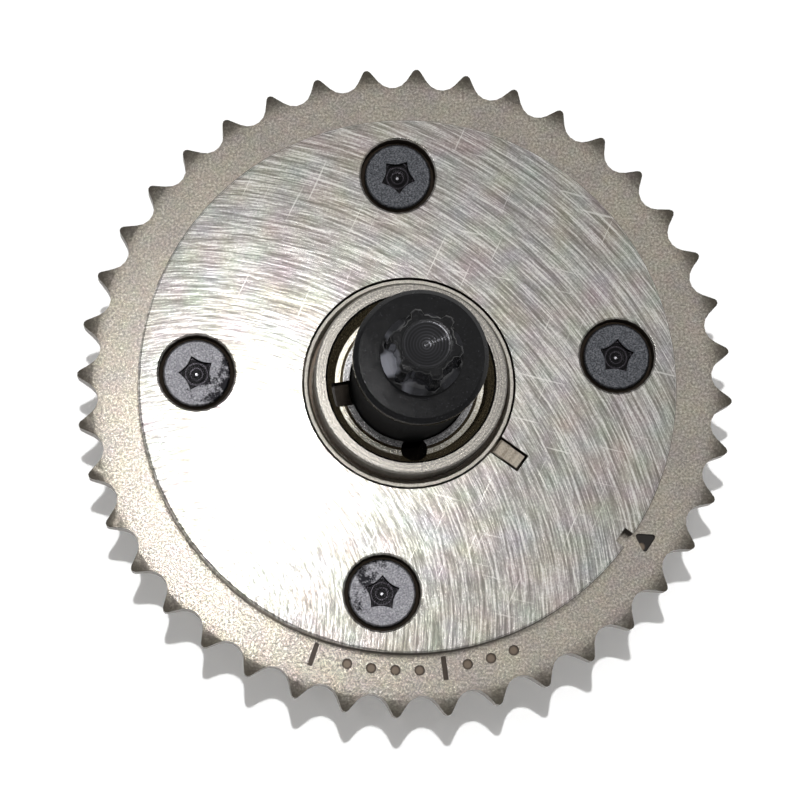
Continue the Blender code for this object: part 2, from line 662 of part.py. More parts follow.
def make_return_spring(material):
    """The flat-wire torsion spring in the rotor's pocket, its tang up in the cover's slot."""
    bottom = POCKET_FLOOR + CLEARANCE
    start = FRONT_COVER_BORE + CLEARANCE / 2
    half_tang = math.degrees(math.atan2(TANG_WIDTH / 2, SPRING_OUTER))
    steps = SPRING_TURNS * SPRING_TURN_STEPS
    rings = []
    for step in range(steps + 1):
        share = step / steps
        angle = TANG_ANGLE + half_tang - 360.0 * SPRING_TURNS * (1 - share)
        low = bottom + SPRING_PITCH * SPRING_TURNS * share
        high = low + SPRING_WIRE_HEIGHT
        near = polar(SPRING_INNER, angle)
        far = polar(SPRING_OUTER, angle)
        rings.append([(*near, low), (*far, low), (*far, high), (*near, high)])
    spring = place("return_spring", finished("return_spring", loft(rings), material))
    tang_top = COVER_FACE - TANG_SINK
    riser_bottom = bottom + SPRING_HEIGHT - SPRING_WIRE_HEIGHT + CLEARANCE
    riser = radial_box(start, SPRING_OUTER - start, TANG_WIDTH, TANG_ANGLE)
    carve(spring, "tang_riser", prism(riser, riser_bottom, tang_top - CLEARANCE), "UNION")
    tang = radial_box(start + CLEARANCE, TANG_LENGTH - CLEARANCE, TANG_WIDTH - CLEARANCE, TANG_ANGLE)
    carve(spring, "tang_end", prism(tang, tang_top - TANG_THICKNESS, tang_top), "UNION")


def hub_bore():
    """The stepped bore through the rotor, from the camshaft's recess to the hub's mouth."""
    nose_top = JOURNAL_RECESS + NOSE_RECESS_DEPTH
    groove_inner = HUB_BORE_RADIUS + SHOULDER_GROOVE_INSET
    groove_outer = groove_inner + SHOULDER_GROOVE_WIDTH
    groove_floor = HUB_SHOULDER - SHOULDER_GROOVE_DEPTH
    flare = HUB_MOUTH_RADIUS + FINE_CHAMFER
    return lathe([(0, -OVERCUT), (NOSE_RECESS_RADIUS, -OVERCUT), (NOSE_RECESS_RADIUS, nose_top),
                  (SHANK_BORE_RADIUS, nose_top), (SHANK_BORE_RADIUS, SEAT_STEP_HEIGHT),
                  (HUB_BORE_RADIUS, SEAT_STEP_HEIGHT), (HUB_BORE_RADIUS, HUB_SHOULDER),
                  (groove_inner, HUB_SHOULDER), (groove_inner, groove_floor),
                  (groove_outer, groove_floor), (groove_outer, HUB_SHOULDER),
                  (HUB_SHOULDER_RADIUS, HUB_SHOULDER), (HUB_MOUTH_RADIUS, HUB_TOP - HUB_MOUTH_LIP),
                  (HUB_MOUTH_RADIUS, HUB_TOP - FINE_CHAMFER), (flare, HUB_TOP),
                  (flare, HUB_TOP + OVERCUT), (0, HUB_TOP + OVERCUT)], HUB_STEPS)


def oil_ways():
    """Drillings from the hub bore out to the chamber on each side of each vane."""
    tools = []
    for angle, half in VANES:
        for side, height in ((-1, OIL_WAY_LOW), (1, OIL_WAY_HIGH)):
            start = HUB_BORE_RADIUS - OVERCUT
            drill = prism(circle(OIL_WAY_RADIUS, DRILL_STEPS), start, CORE_RADIUS + OVERCUT)
            drill.transform(Matrix.Rotation(math.radians(90.0), 4, "Y"))
            bmesh.ops.translate(drill, verts=drill.verts, vec=(0, 0, height))
            direction = angle + side * (half + OIL_WAY_BESIDE_VANE)
            drill.transform(Matrix.Rotation(math.radians(direction), 4, "Z"))
            tools.append(drill)
    return tools


def make_rotor(material, axis):
    """The rotor: vanes, front hub, rear journal and all its bores in one piece."""
    vanes = prism(rotor_outline(), ROTOR_BOTTOM, ROTOR_TOP)
    rotor = place("rotor", finished("rotor", vanes, material), parent=axis)
    hub = lathe([(0, POCKET_FLOOR - OVERCUT), (HUB_RADIUS, POCKET_FLOOR - OVERCUT),
                 (HUB_RADIUS, HUB_TOP - FINE_CHAMFER), (HUB_RADIUS - FINE_CHAMFER, HUB_TOP),
                 (0, HUB_TOP)], HUB_STEPS)
    carve(rotor, "hub_body", hub, "UNION")
    into_core = ROTOR_BOTTOM + OVERCUT
    journal = lathe([(0, JOURNAL_RECESS), (JOURNAL_RADIUS - FINE_CHAMFER, JOURNAL_RECESS),
                     (JOURNAL_RADIUS, JOURNAL_RECESS + FINE_CHAMFER), (JOURNAL_RADIUS, into_core),
                     (0, into_core)], HUB_STEPS)
    carve(rotor, "journal_body", journal, "UNION")
    carve(rotor, "hub_bore_tool", hub_bore())
    top = ROTOR_TOP + OVERCUT
    pocket = lathe([(POCKET_INNER, POCKET_FLOOR), (POCKET_OUTER, POCKET_FLOOR), (POCKET_OUTER, top),
                    (POCKET_INNER, top)], HUB_STEPS, closed=True)
    pin_hole = circle(PIN_HOLE_RADIUS, SMALL_STEPS, polar(PIN_CIRCLE, PIN_ANGLE))
    bores = [pocket, prism(pin_hole, ROTOR_BOTTOM - OVERCUT, top)]
    carve(rotor, "pocket_tool", joined(bores + oil_ways()))
    oil_hole = circle(OIL_HOLE_RADIUS, SMALL_STEPS, polar(OIL_HOLE_CIRCLE, OIL_HOLE_ANGLE))
    slot_start = HUB_BORE_RADIUS - OVERCUT
    slot_length = HUB_MOUTH_RADIUS - HUB_SLOT_INSET - slot_start
    slot = radial_box(slot_start, slot_length, HUB_SLOT_WIDTH, HUB_SLOT_ANGLE)
    details = [prism(oil_hole, HUB_SHOULDER - OIL_HOLE_DEPTH, HUB_TOP - HUB_MOUTH_LIP),
               prism(slot, HUB_SHOULDER - HUB_SLOT_DEPTH, HUB_SHOULDER + HUB_SLOT_RISE)]
    carve(rotor, "hub_detail_tool", joined(details))


def seal_bar(inner, outer, material):
    """A seal bar lying along the axis, its long sides parallel."""
    bar = prism(radial_box(inner, outer - inner, SEAL_WIDTH, 0.0), ROTOR_BOTTOM + CLEARANCE,
                ROTOR_TOP - CLEARANCE)
    return finished("seal_bar", bar, material)


def leaf_spring(low, high, material):
    """A thin strip arched between a groove's floor and the back of its seal."""
    half = LEAF_WIDTH / 2
    bottom = ROTOR_BOTTOM + LEAF_END_ROOM
    length = ROTOR_TOP - LEAF_END_ROOM - bottom
    rings = []
    for step in range(LEAF_STEPS + 1):
        share = step / LEAF_STEPS
        inner = low + (high - low) * math.sin(math.pi * share) - LEAF_THICKNESS / 2
        outer = inner + LEAF_THICKNESS
        height = bottom + length * share
        rings.append([(inner, -half, height), (outer, -half, height), (outer, half, height),
                      (inner, half, height)])
    return finished("leaf_spring", loft(rings), material)


def make_seals(seal_material, leaf_material, axis):
    """Seal bars with leaf springs behind them, at each vane tip and in each lobe."""
    off_floor = CLEARANCE + LEAF_THICKNESS / 2
    bar = seal_bar(VANE_SEAL_INNER, VANE_SEAL_OUTER, seal_material)
    low = VANE_GROOVE_FLOOR + off_floor
    leaf = leaf_spring(low, low + LEAF_ARCH, leaf_material)
    for index, (angle, half) in enumerate(VANES):
        place(f"vane_seal_{index + 1}", bar, parent=axis, turn=angle)
        place(f"vane_seal_spring_{index + 1}", leaf, parent=axis, turn=angle)
    bar = seal_bar(LOBE_SEAL_INNER, LOBE_SEAL_OUTER, seal_material)
    low = LOBE_GROOVE_FLOOR - off_floor
    leaf = leaf_spring(low, low - LEAF_ARCH, leaf_material)
    for index, angle in enumerate(SCREW_ANGLES):
        place(f"lobe_seal_{index + 1}", bar, turn=angle)
        place(f"lobe_seal_spring_{index + 1}", leaf, turn=angle)


def make_lock_pin(pin_material, spring_material, cap_material, axis):
    """The lock pin with its spring, and the vented cap that closes its bore."""
    centre = polar(PIN_CIRCLE, PIN_ANGLE)
    radius = PIN_RADIUS
    bore = PIN_RADIUS - PIN_SIDE_WALL
    bottom = ROTOR_BOTTOM + CLEARANCE
    floor = bottom + PIN_FLOOR
    top = bottom + PIN_LENGTH
    pin = lathe([(0, bottom), (radius - PIN_CHAMFER, bottom), (radius, bottom + PIN_CHAMFER),
                 (radius, top), (bore, top), (bore, floor), (0, floor)], SMALL_STEPS)
    place("lock_pin", finished("lock_pin", pin, pin_material), parent=axis, in_plane=centre)
    cap_top = ROTOR_TOP - CLEARANCE
    cap_bottom = cap_top - PIN_CAP_THICKNESS
    cap = lathe([(PIN_CAP_VENT_RADIUS, cap_bottom), (radius, cap_bottom), (radius, cap_top),
                 (PIN_CAP_VENT_RADIUS, cap_top)], SMALL_STEPS, closed=True)
    place("lock_pin_cap", finished("lock_pin_cap", cap, cap_material), parent=axis, in_plane=centre)
    wire = PIN_SPRING_WIRE
    coil_radius = bore - CLEARANCE - wire
    low = floor + CLEARANCE + wire
    high = cap_bottom - CLEARANCE - wire
    steps = PIN_SPRING_TURNS * PIN_SPRING_TURN_STEPS
    rings = []
    for step in range(steps + 1):
        share = step / steps
        angle = 360.0 * PIN_SPRING_TURNS * share
        height = low + (high - low) * share
        section = circle(wire, WIRE_SIDES)
        rings.append([(*polar(coil_radius + across, angle), height + up) for across, up in section])
    spring = finished("lock_pin_spring", loft(rings), spring_material)
    place("lock_pin_spring", spring, parent=axis, in_plane=centre)


def widened(outline, share, height):
    """The star's outline at a height, moved out to the collar except for a share of its depth."""
    ring = []
    for x, y in outline:
        radius = math.hypot(x, y)
        factor = (STAR_COLLAR_RADIUS + share * (radius - STAR_COLLAR_RADIUS)) / radius
        ring.append((x * factor, y * factor, height))
    return ring


def star_head(top):
    """The bolt's external star, whose flutes run out to a round collar at their foot."""
    outline = lobed(STAR_LOBES, STAR_LOBE_REACH, STAR_FLUTE_RADIUS, STAR_LOBE_ROUNDING_RADIUS, STAR_STEPS)
    outline = turned(outline, STAR_ANGLE)
    foot = FLANGE_TOP + STAR_COLLAR_HEIGHT
    rings = [widened(outline, 0.0, FLANGE_TOP - OVERCUT)]
    for step in range(RUNOUT_STEPS + 1):
        sweep = math.radians(90.0 * step / RUNOUT_STEPS)
        height = foot + STAR_RUNOUT_HEIGHT * (1.0 - math.cos(sweep))
        rings.append(widened(outline, math.sin(sweep), height))
    share = 1.0 - STAR_CHAMFER / STAR_LOBE_REACH
    rings.append([(x, y, top - STAR_CHAMFER) for x, y in outline])
    rings.append([(x * share, y * share, top) for x, y in outline])
    return loft(rings)


def make_bolt(material, axis):
    """The central bolt: shank, thick body, flange and an external star head with a dished top."""
    flange_bottom = FLANGE_TOP - BOLT_FLANGE_THICKNESS
    body_bottom = HUB_SHOULDER - BOLT_BODY_ENTRY
    tip = BOLT_TIP_TO_REAR
    shank = BOLT_SHANK_RADIUS
    body = BOLT_BODY_RADIUS
    flange = BOLT_FLANGE_RADIUS
    chamfer = BOLT_FLANGE_CHAMFER
    turned_body = lathe([(0, tip), (shank - BOLT_TIP_CHAMFER, tip), (shank, tip + BOLT_TIP_CHAMFER),
                         (shank, body_bottom), (body - EDGE_CHAMFER, body_bottom),
                         (body, body_bottom + EDGE_CHAMFER), (body, flange_bottom),
                         (flange, flange_bottom), (flange, FLANGE_TOP - chamfer),
                         (flange - chamfer, FLANGE_TOP), (0, FLANGE_TOP)], HUB_STEPS)
    bolt = place("central_bolt", finished("central_bolt", turned_body, material), parent=axis)
    top = FLANGE_TOP + STAR_HEIGHT
    carve(bolt, "star_body", star_head(top), "UNION")
    bowl = []
    for step in range(DISH_STEPS + 1):
        share = step / DISH_STEPS
        bowl.append((STAR_DISH_RADIUS * share, top - STAR_DISH_DEPTH * (1.0 - share ** 2)))
    bowl += [(STAR_DISH_RADIUS, top + OVERCUT), (0, top + OVERCUT)]
    carve(bolt, "star_dish_tool", lathe(bowl, HEAD_STEPS))


def clear_scene():
    """Empties the scene of whatever it opened with."""
    for item in list(bpy.data.objects):
        bpy.data.objects.remove(item, do_unlink=True)


def build():
    """Makes the whole assembly."""
    clear_scene()
    sintered = make_material("sintered_steel", (0.36, 0.34, 0.31), 0.9, 0.55)
    ground = make_material("ground_steel", (0.55, 0.53, 0.50), 1.0, 0.33)
    machined = make_material("machined_steel", (0.50, 0.49, 0.46), 1.0, 0.35)
    black_oxide = make_material("black_oxide_steel", (0.012, 0.012, 0.014), 0.7, 0.25)
    screw_steel = make_material("screw_steel", (0.10, 0.10, 0.11), 0.9, 0.4)
    spring_steel = make_material("spring_steel", (0.42, 0.33, 0.22), 0.9, 0.4)
    hardened = make_material("hardened_steel", (0.45, 0.44, 0.42), 1.0, 0.25)
    seal_plastic = make_material("seal_plastic", (0.05, 0.04, 0.035), 0.0, 0.5)
    rotor_axis = bpy.data.objects.new("rotor_axis", None)
    bpy.context.scene.collection.objects.link(rotor_axis)
    make_housing(sintered)
    make_rear_cover(sintered)
    make_lock_bush(hardened)
    make_front_cover(ground)
    make_screws(screw_steel)
    make_dowel(hardened)
    make_front_bush(machined)
    make_return_spring(spring_steel)
    make_rotor(machined, rotor_axis)
    make_seals(seal_plastic, spring_steel, rotor_axis)
    make_lock_pin(hardened, spring_steel, machined, rotor_axis)
    make_bolt(black_oxide, rotor_axis)


build()
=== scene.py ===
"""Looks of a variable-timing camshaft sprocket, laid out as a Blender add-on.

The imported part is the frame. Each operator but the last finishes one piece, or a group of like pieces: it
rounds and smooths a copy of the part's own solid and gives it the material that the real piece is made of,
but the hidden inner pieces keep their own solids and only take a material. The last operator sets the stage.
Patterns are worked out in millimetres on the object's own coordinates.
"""
import json
import math
import bmesh
import bpy
from mathutils import Matrix, Vector


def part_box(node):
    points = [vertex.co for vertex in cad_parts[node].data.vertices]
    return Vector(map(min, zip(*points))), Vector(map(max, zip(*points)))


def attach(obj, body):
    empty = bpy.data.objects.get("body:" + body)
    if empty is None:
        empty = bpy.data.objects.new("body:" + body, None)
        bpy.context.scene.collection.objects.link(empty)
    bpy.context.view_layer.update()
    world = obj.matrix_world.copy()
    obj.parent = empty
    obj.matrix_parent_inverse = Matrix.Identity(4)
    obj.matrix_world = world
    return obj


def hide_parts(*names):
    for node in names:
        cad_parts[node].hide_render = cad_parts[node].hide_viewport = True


bl_info = {
    "name": "Camshaft Sprocket Finish",
    "version": (1, 0, 0),
    "blender": (4, 5, 0),
    "location": "3D View > Sidebar > Sprocket",
    "description": "Finishes the pieces of a variable-timing camshaft sprocket and sets its stage",
    "category": "Object",
}

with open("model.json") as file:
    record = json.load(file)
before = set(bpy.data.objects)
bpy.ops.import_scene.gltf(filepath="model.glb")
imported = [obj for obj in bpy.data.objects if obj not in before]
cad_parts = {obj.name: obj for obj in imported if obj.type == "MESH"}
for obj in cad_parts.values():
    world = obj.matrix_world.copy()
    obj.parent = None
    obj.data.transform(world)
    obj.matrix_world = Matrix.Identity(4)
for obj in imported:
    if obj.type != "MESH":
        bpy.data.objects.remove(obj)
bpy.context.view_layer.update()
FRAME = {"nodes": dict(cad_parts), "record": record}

# Units, and the heights and radii that the finishes follow, read from the solids in millimetres
MM = 0.001
PER_METRE = 1000.0
RING_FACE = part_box("sprocket_housing")[1].z / MM
TIP_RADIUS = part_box("sprocket_housing")[1].x / MM
COVER_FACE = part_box("front_cover")[1].z / MM
COVER_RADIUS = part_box("front_cover")[1].x / MM
HUB_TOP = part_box("rotor")[1].z / MM
BOLT_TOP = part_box("central_bolt")[1].z / MM
SCREW_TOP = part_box("cover_screw_1")[1].z / MM

# How copies of the solids are cleaned
MERGE_DISTANCE = 0.000002
FLAT_ANGLE = math.radians(0.6)
CORNER_ANGLE = math.radians(32.0)
SHARP_ANGLE = math.radians(40.0)

# Detail and roughness of the noise that every open grain is drawn with
FINE_GRAIN = {"Detail": 4.0, "Roughness": 0.75}

# Scales of the grains, as noise cells in each millimetre
FACE_GRAIN = 2.6
OIL_SCALE = 0.17
PORE_SCALE = 2.3
CLOUD_SCALE = 0.13
TINT_SCALE = 0.4
HUB_GRAIN = 2.8
OXIDE_GRAIN = 2.6
FILM_SCALE = 0.3
GRIT_SCALE = 1.5
PIT_SCALE = 3.2
FLAKE_SCALE = 0.42
FINISH_GRAIN = 2.8

# Roughness where the grain is at its lowest and at its highest
GROUND_ROUGH = (0.17, 0.22)
SINTER_ROUGH = (0.25, 0.19)
HUB_ROUGH = (0.2, 0.28)
OXIDE_ROUGH = (0.06, 0.1)

# Spacing in millimetres and length in radians of the rings that turning leaves
HUB_LINES = (0.22, 1.3)
SCREW_LINES = (0.3, 2.5)

# Heights of the relief, in metres
GROUND_RELIEF = 0.00005
SINTER_RELIEF = 0.00004
HUB_RELIEF = 0.00003
OXIDE_RELIEF = 0.00001
SCREW_RELIEF = 0.00005
FINISH_RELIEF = 0.00004

# The cover's arcs, drawn as grinding marks on the way out and on the way back, whose light lines are painted
# glints round the small lamp's mirror point: their spacing in millimetres and their length in radians, and
# how far the second centre stands from the first
OUT_GLINT_ARCS = (0.5, 0.17)
BACK_GLINT_ARCS = (0.34, 0.10)
BACK_GLINT_OFFSET = (9.0, -4.0)

# The shares of the painted glint arcs out, the painted glint arcs back and the mottled grain in the cover's
# tone
GLINT_AND_GRAIN_SHARES = (0.5, 0.27, 0.23)

# Long scratches on the cover: their turn in degrees and spacing, their length and their colour
SCRATCHES = ((24.0, 0.55), (103.0, 0.7))
SCRATCH_LENGTH = 17.0
SCRATCH_LIGHT = "#f2efe9"

# The share of the oil's tints in the cover's colour, the depths between which its walls, painted dark brown
# for oil and for painted shade, turn to the bare face, where its rim starts, and the side on which the rim
# is painted as bright as the face for the lamp's sheen, with its lift towards the face
OIL_SHARE = 0.14
WALL_DEPTH = 0.34
FACE_DEPTH = 0.14
RIM_START = COVER_RADIUS - 0.6
SHEEN_SIDE_ANGLE = math.radians(212.0)
SHEEN_SIDE_LIFT = 4.0

# Teeth: where painted shade starts to darken the face towards the tapered tips, where a tip ends, and from
# which radius a wall is a tooth's flank, also darkened as painted shade
TOOTH_ROOT = TIP_RADIUS - 5.6
TOOTH_TIP = TIP_RADIUS - 1.5
FLANK_RADIUS = COVER_RADIUS + 3.0

# Clouds of warmer and cooler grey on the sintered face, and the oil and painted shade in its marks from
# floor to top, darkest at the deepest floor
CLOUD_TONES = ("#b3afb0", "#c7c4ba")
MARK_OIL_AND_SHADE_TONES = ((0.20, "#1d1814"), (0.36, "#3b3027"), (0.44, "#261e17"))

# Sunk marks: their circle and the radius and depth that they keep within, the dots' first angle and
# step, and the tick that stands among the dots
MARK_CIRCLE = COVER_RADIUS + 2.8
MARKS_WITHIN = COVER_RADIUS + 6.0
MARKS_ABOVE = RING_FACE - 1.0
DOT_ANGLE = math.radians(-102.1)
DOT_STEP = math.radians(4.86)
TICK_ANGLE = math.radians(-82.5)
TICK_HALF = math.radians(1.2)

# Radii across the hub's mouth, from the bore outwards
BORE_EDGE = 11.1
BAND_EDGE = 12.3
GROOVE_OUTER = 12.85
SHOULDER_EDGE = 13.8
MOUTH_EDGE = 15.35
RIM_EDGE = 17.75
HUB_OUTSIDE = 20.0
SHOULDER_HEIGHT = HUB_TOP - 4.2

# The hub's own colours: bore, groove, outer wall, depths, grain and the turning tool's rings; the bore,
# outer wall and depths are dark for oil and for painted shade
BORE_OIL_AND_SHADE = "#0f0d0c"
GROOVE_BROWN = "#4d4638"
WALL_OIL_AND_SHADE = "#544a40"
DEPTH_OIL_AND_SHADE = "#1d1a17"
HUB_GRAINS = ((0.34, "#7f7e7c"), (0.50, "#bcbab7"), (0.68, "#f4f2ee"))
HUB_RINGS = ((0.35, "#9a9894"), (0.65, "#dbd8d3"))

# The bolt's head: the tones of grit in its film, the dish and the wave of its rings in radians a millimetre,
# the flange's underside, and the scoops where the star's flutes run out, lighter towards one side by painted
# reflection
OXIDE_TONES = ("#111113", "#47474d")
DISH_RADIUS = 4.3
DISH_TONES = ((0.2, "#3a3a3b"), (1.0, "#525256"))
DISH_BLUR = 0.06
RING_WAVE = 12.0
FLUTES = 6.0
FLANGE_BOTTOM = BOLT_TOP - 15.2
SCOOP_FOOT = BOLT_TOP - 11.4
SCOOP_TOP = BOLT_TOP - 7.0
SCOOP_ANGLE = math.radians(78.0)
REFLECTION_SIDE_ANGLE = math.radians(200.0)

# Nodes with one finish that nothing but a pose or a section shows
INNER_NODES = {
    "seal_plastic": ["vane_seal_1", "vane_seal_2", "vane_seal_3", "vane_seal_4",
                     "lobe_seal_1", "lobe_seal_2", "lobe_seal_3", "lobe_seal_4"],
    "spring_steel": ["vane_seal_spring_1", "vane_seal_spring_2", "vane_seal_spring_3",
                     "vane_seal_spring_4", "lobe_seal_spring_1", "lobe_seal_spring_2",
                     "lobe_seal_spring_3", "lobe_seal_spring_4", "lock_pin_spring"],
    "hardened_steel": ["lock_pin", "lock_bush", "cover_dowel"],
    "machined_steel": ["lock_pin_cap"],
}

# Plain finishes: name, two tones, line spacing and length, metallic and roughness
SHARED_FINISHES = {
    "seal_plastic": ("moulded_seal", "#2e2a26", "#45403a", 1.0, 1.0, 0.0, (0.45, 0.6)),
    "spring_steel": ("tempered_strip", "#94897a", "#c9bfb0", 0.8, 0.8, 0.8, (0.4, 0.55)),
    "hardened_steel": ("polished_hard_steel", "#a8a7a4", "#cfcecb", 0.6, 0.6, 1.0, (0.18, 0.3)),
    "machined_steel": ("turned_bush", "#a8a39a", "#dcd7cc", 0.2, 1.5, 1.0, (0.3, 0.45)),
    "cover_steel": ("turned_plate", "#7d7973", "#aca8a1", 0.3, 0.4, 1.0, (0.3, 0.45)),
}

# A screw's socket: the wave of its rings in radians a millimetre, their tones, and the bright point
SOCKET_WAVE = 7.0
SOCKET_TONES = ((0.5, "#111012"), (1.0, "#3b383d"))
POINT_RADIUS = 0.25
POINT_GREY = "#b9b8bd"

# Darkest and lightest tones of a screw's pits, as finished and rubbed bare, and its flakes of black
PIT_TONES = ("#2e2f32", "#8d8e93")
BARE_TONES = ("#77767b", "#dddce0")
FLAKE_BLACK = "#2b2a2f"

# Each cover screw: whether its top is rubbed bare, and to which side the old black finish is left
SCREW_WEAR = ((False, (0.0, 0.0)), (False, (0.0, 0.0)), (True, (0.8, -0.5)), (True, (-0.7, 0.6)))

# Widths of the lamps, and the camera's sensor in millimetres and furthest view in metres
SMALL_WIDTH = 0.008
GLINT_WIDTH = 0.032
SOFT_WIDTH = 0.05
SIDE_WIDTH = 0.03
SENSOR_WIDTH = 36.0
FAR_VIEW = 20.0

# The table: how white it is, how white it is seen to be, and the distances from the object between
# which it turns to a white light of its own
TABLE_WHITE = 0.8
TABLE_SEEN = 1.02
TABLE_NEAR = 0.15
TABLE_FAR = 0.45

# The sky's level by its height, from the horizon to overhead
SKY_LEVELS = ((0.0, 0.36), (0.5, 0.38), (0.87, 0.5), (0.96, 0.57), (0.985, 0.72))


def linear(colour):
    """A hex sRGB colour as linear RGBA."""
    values = []
    for index in (1, 3, 5):
        value = int(colour[index:index + 2], 16) / 255.0
        values.append(value / 12.92 if value <= 0.04045 else ((value + 0.055) / 1.055) ** 2.4)
    return (*values, 1.0)


def add(tree, kind, inputs=None, stops=None, out=0, **settings):
    """The chosen output of one new node, given its settings, its inputs and a ramp's stops."""
    node = tree.nodes.new(kind)
    for name, value in settings.items():
        setattr(node, name, value)
    for name, value in (inputs or {}).items():
        if isinstance(value, bpy.types.NodeSocket):
            tree.links.new(value, node.inputs[name])
        elif isinstance(value, str):
            node.inputs[name].default_value = linear(value)
        else:
            node.inputs[name].default_value = value
    if stops:
        ramp = node.color_ramp.elements
        while len(ramp) < len(stops):
            ramp.new(1.0)
        for element, (position, colour) in zip(ramp, stops):
            element.position = position
            element.color = linear(colour) if isinstance(colour, str) else (colour, colour, colour, 1.0)
    return node.outputs[out]


def new_material(name):
    """An empty material with its Principled shader, and the object's place in millimetres."""
    material = bpy.data.materials.new(name)
    material.use_nodes = True
    tree = material.node_tree
    where = add(tree, "ShaderNodeTexCoord", out="Object")
    place = add(tree, "ShaderNodeVectorMath", {0: where, "Scale": PER_METRE}, operation="SCALE")
    return material, tree, tree.nodes["Principled BSDF"], place


def polar_parts(tree, place, centre=(0.0, 0.0, 0.0)):
    """Distance from an upright axis, the angle round it, and the height, from a place."""
    offset = add(tree, "ShaderNodeVectorMath", {0: place, 1: centre}, operation="SUBTRACT")
    flat = add(tree, "ShaderNodeVectorMath", {0: offset, 1: (1.0, 1.0, 0.0)}, operation="MULTIPLY")
    radius = add(tree, "ShaderNodeVectorMath", {0: flat}, operation="LENGTH", out="Value")
    parts = add(tree, "ShaderNodeSeparateXYZ", {0: offset}).node
    angle = add(tree, "ShaderNodeMath", {0: parts.outputs["Y"], 1: parts.outputs["X"]}, operation="ARCTAN2")
    return radius, angle, parts.outputs["Z"]


def tool_lines(tree, across, along, spacing, length, detail=2.0, roughness=0.6):
    """The pattern of lines that a tool leaves: their spacing across, and their length along."""
    first = add(tree, "ShaderNodeMath", {0: across, 1: 1.0 / spacing}, operation="MULTIPLY")
    second = add(tree, "ShaderNodeMath", {0: along, 1: 1.0 / length}, operation="MULTIPLY")
    vector = add(tree, "ShaderNodeCombineXYZ", {"X": first, "Y": second})
    return add(tree, "ShaderNodeTexNoise", {"Vector": vector, "Scale": 1.0, "Detail": detail,
                                            "Roughness": roughness}, noise_dimensions="2D")


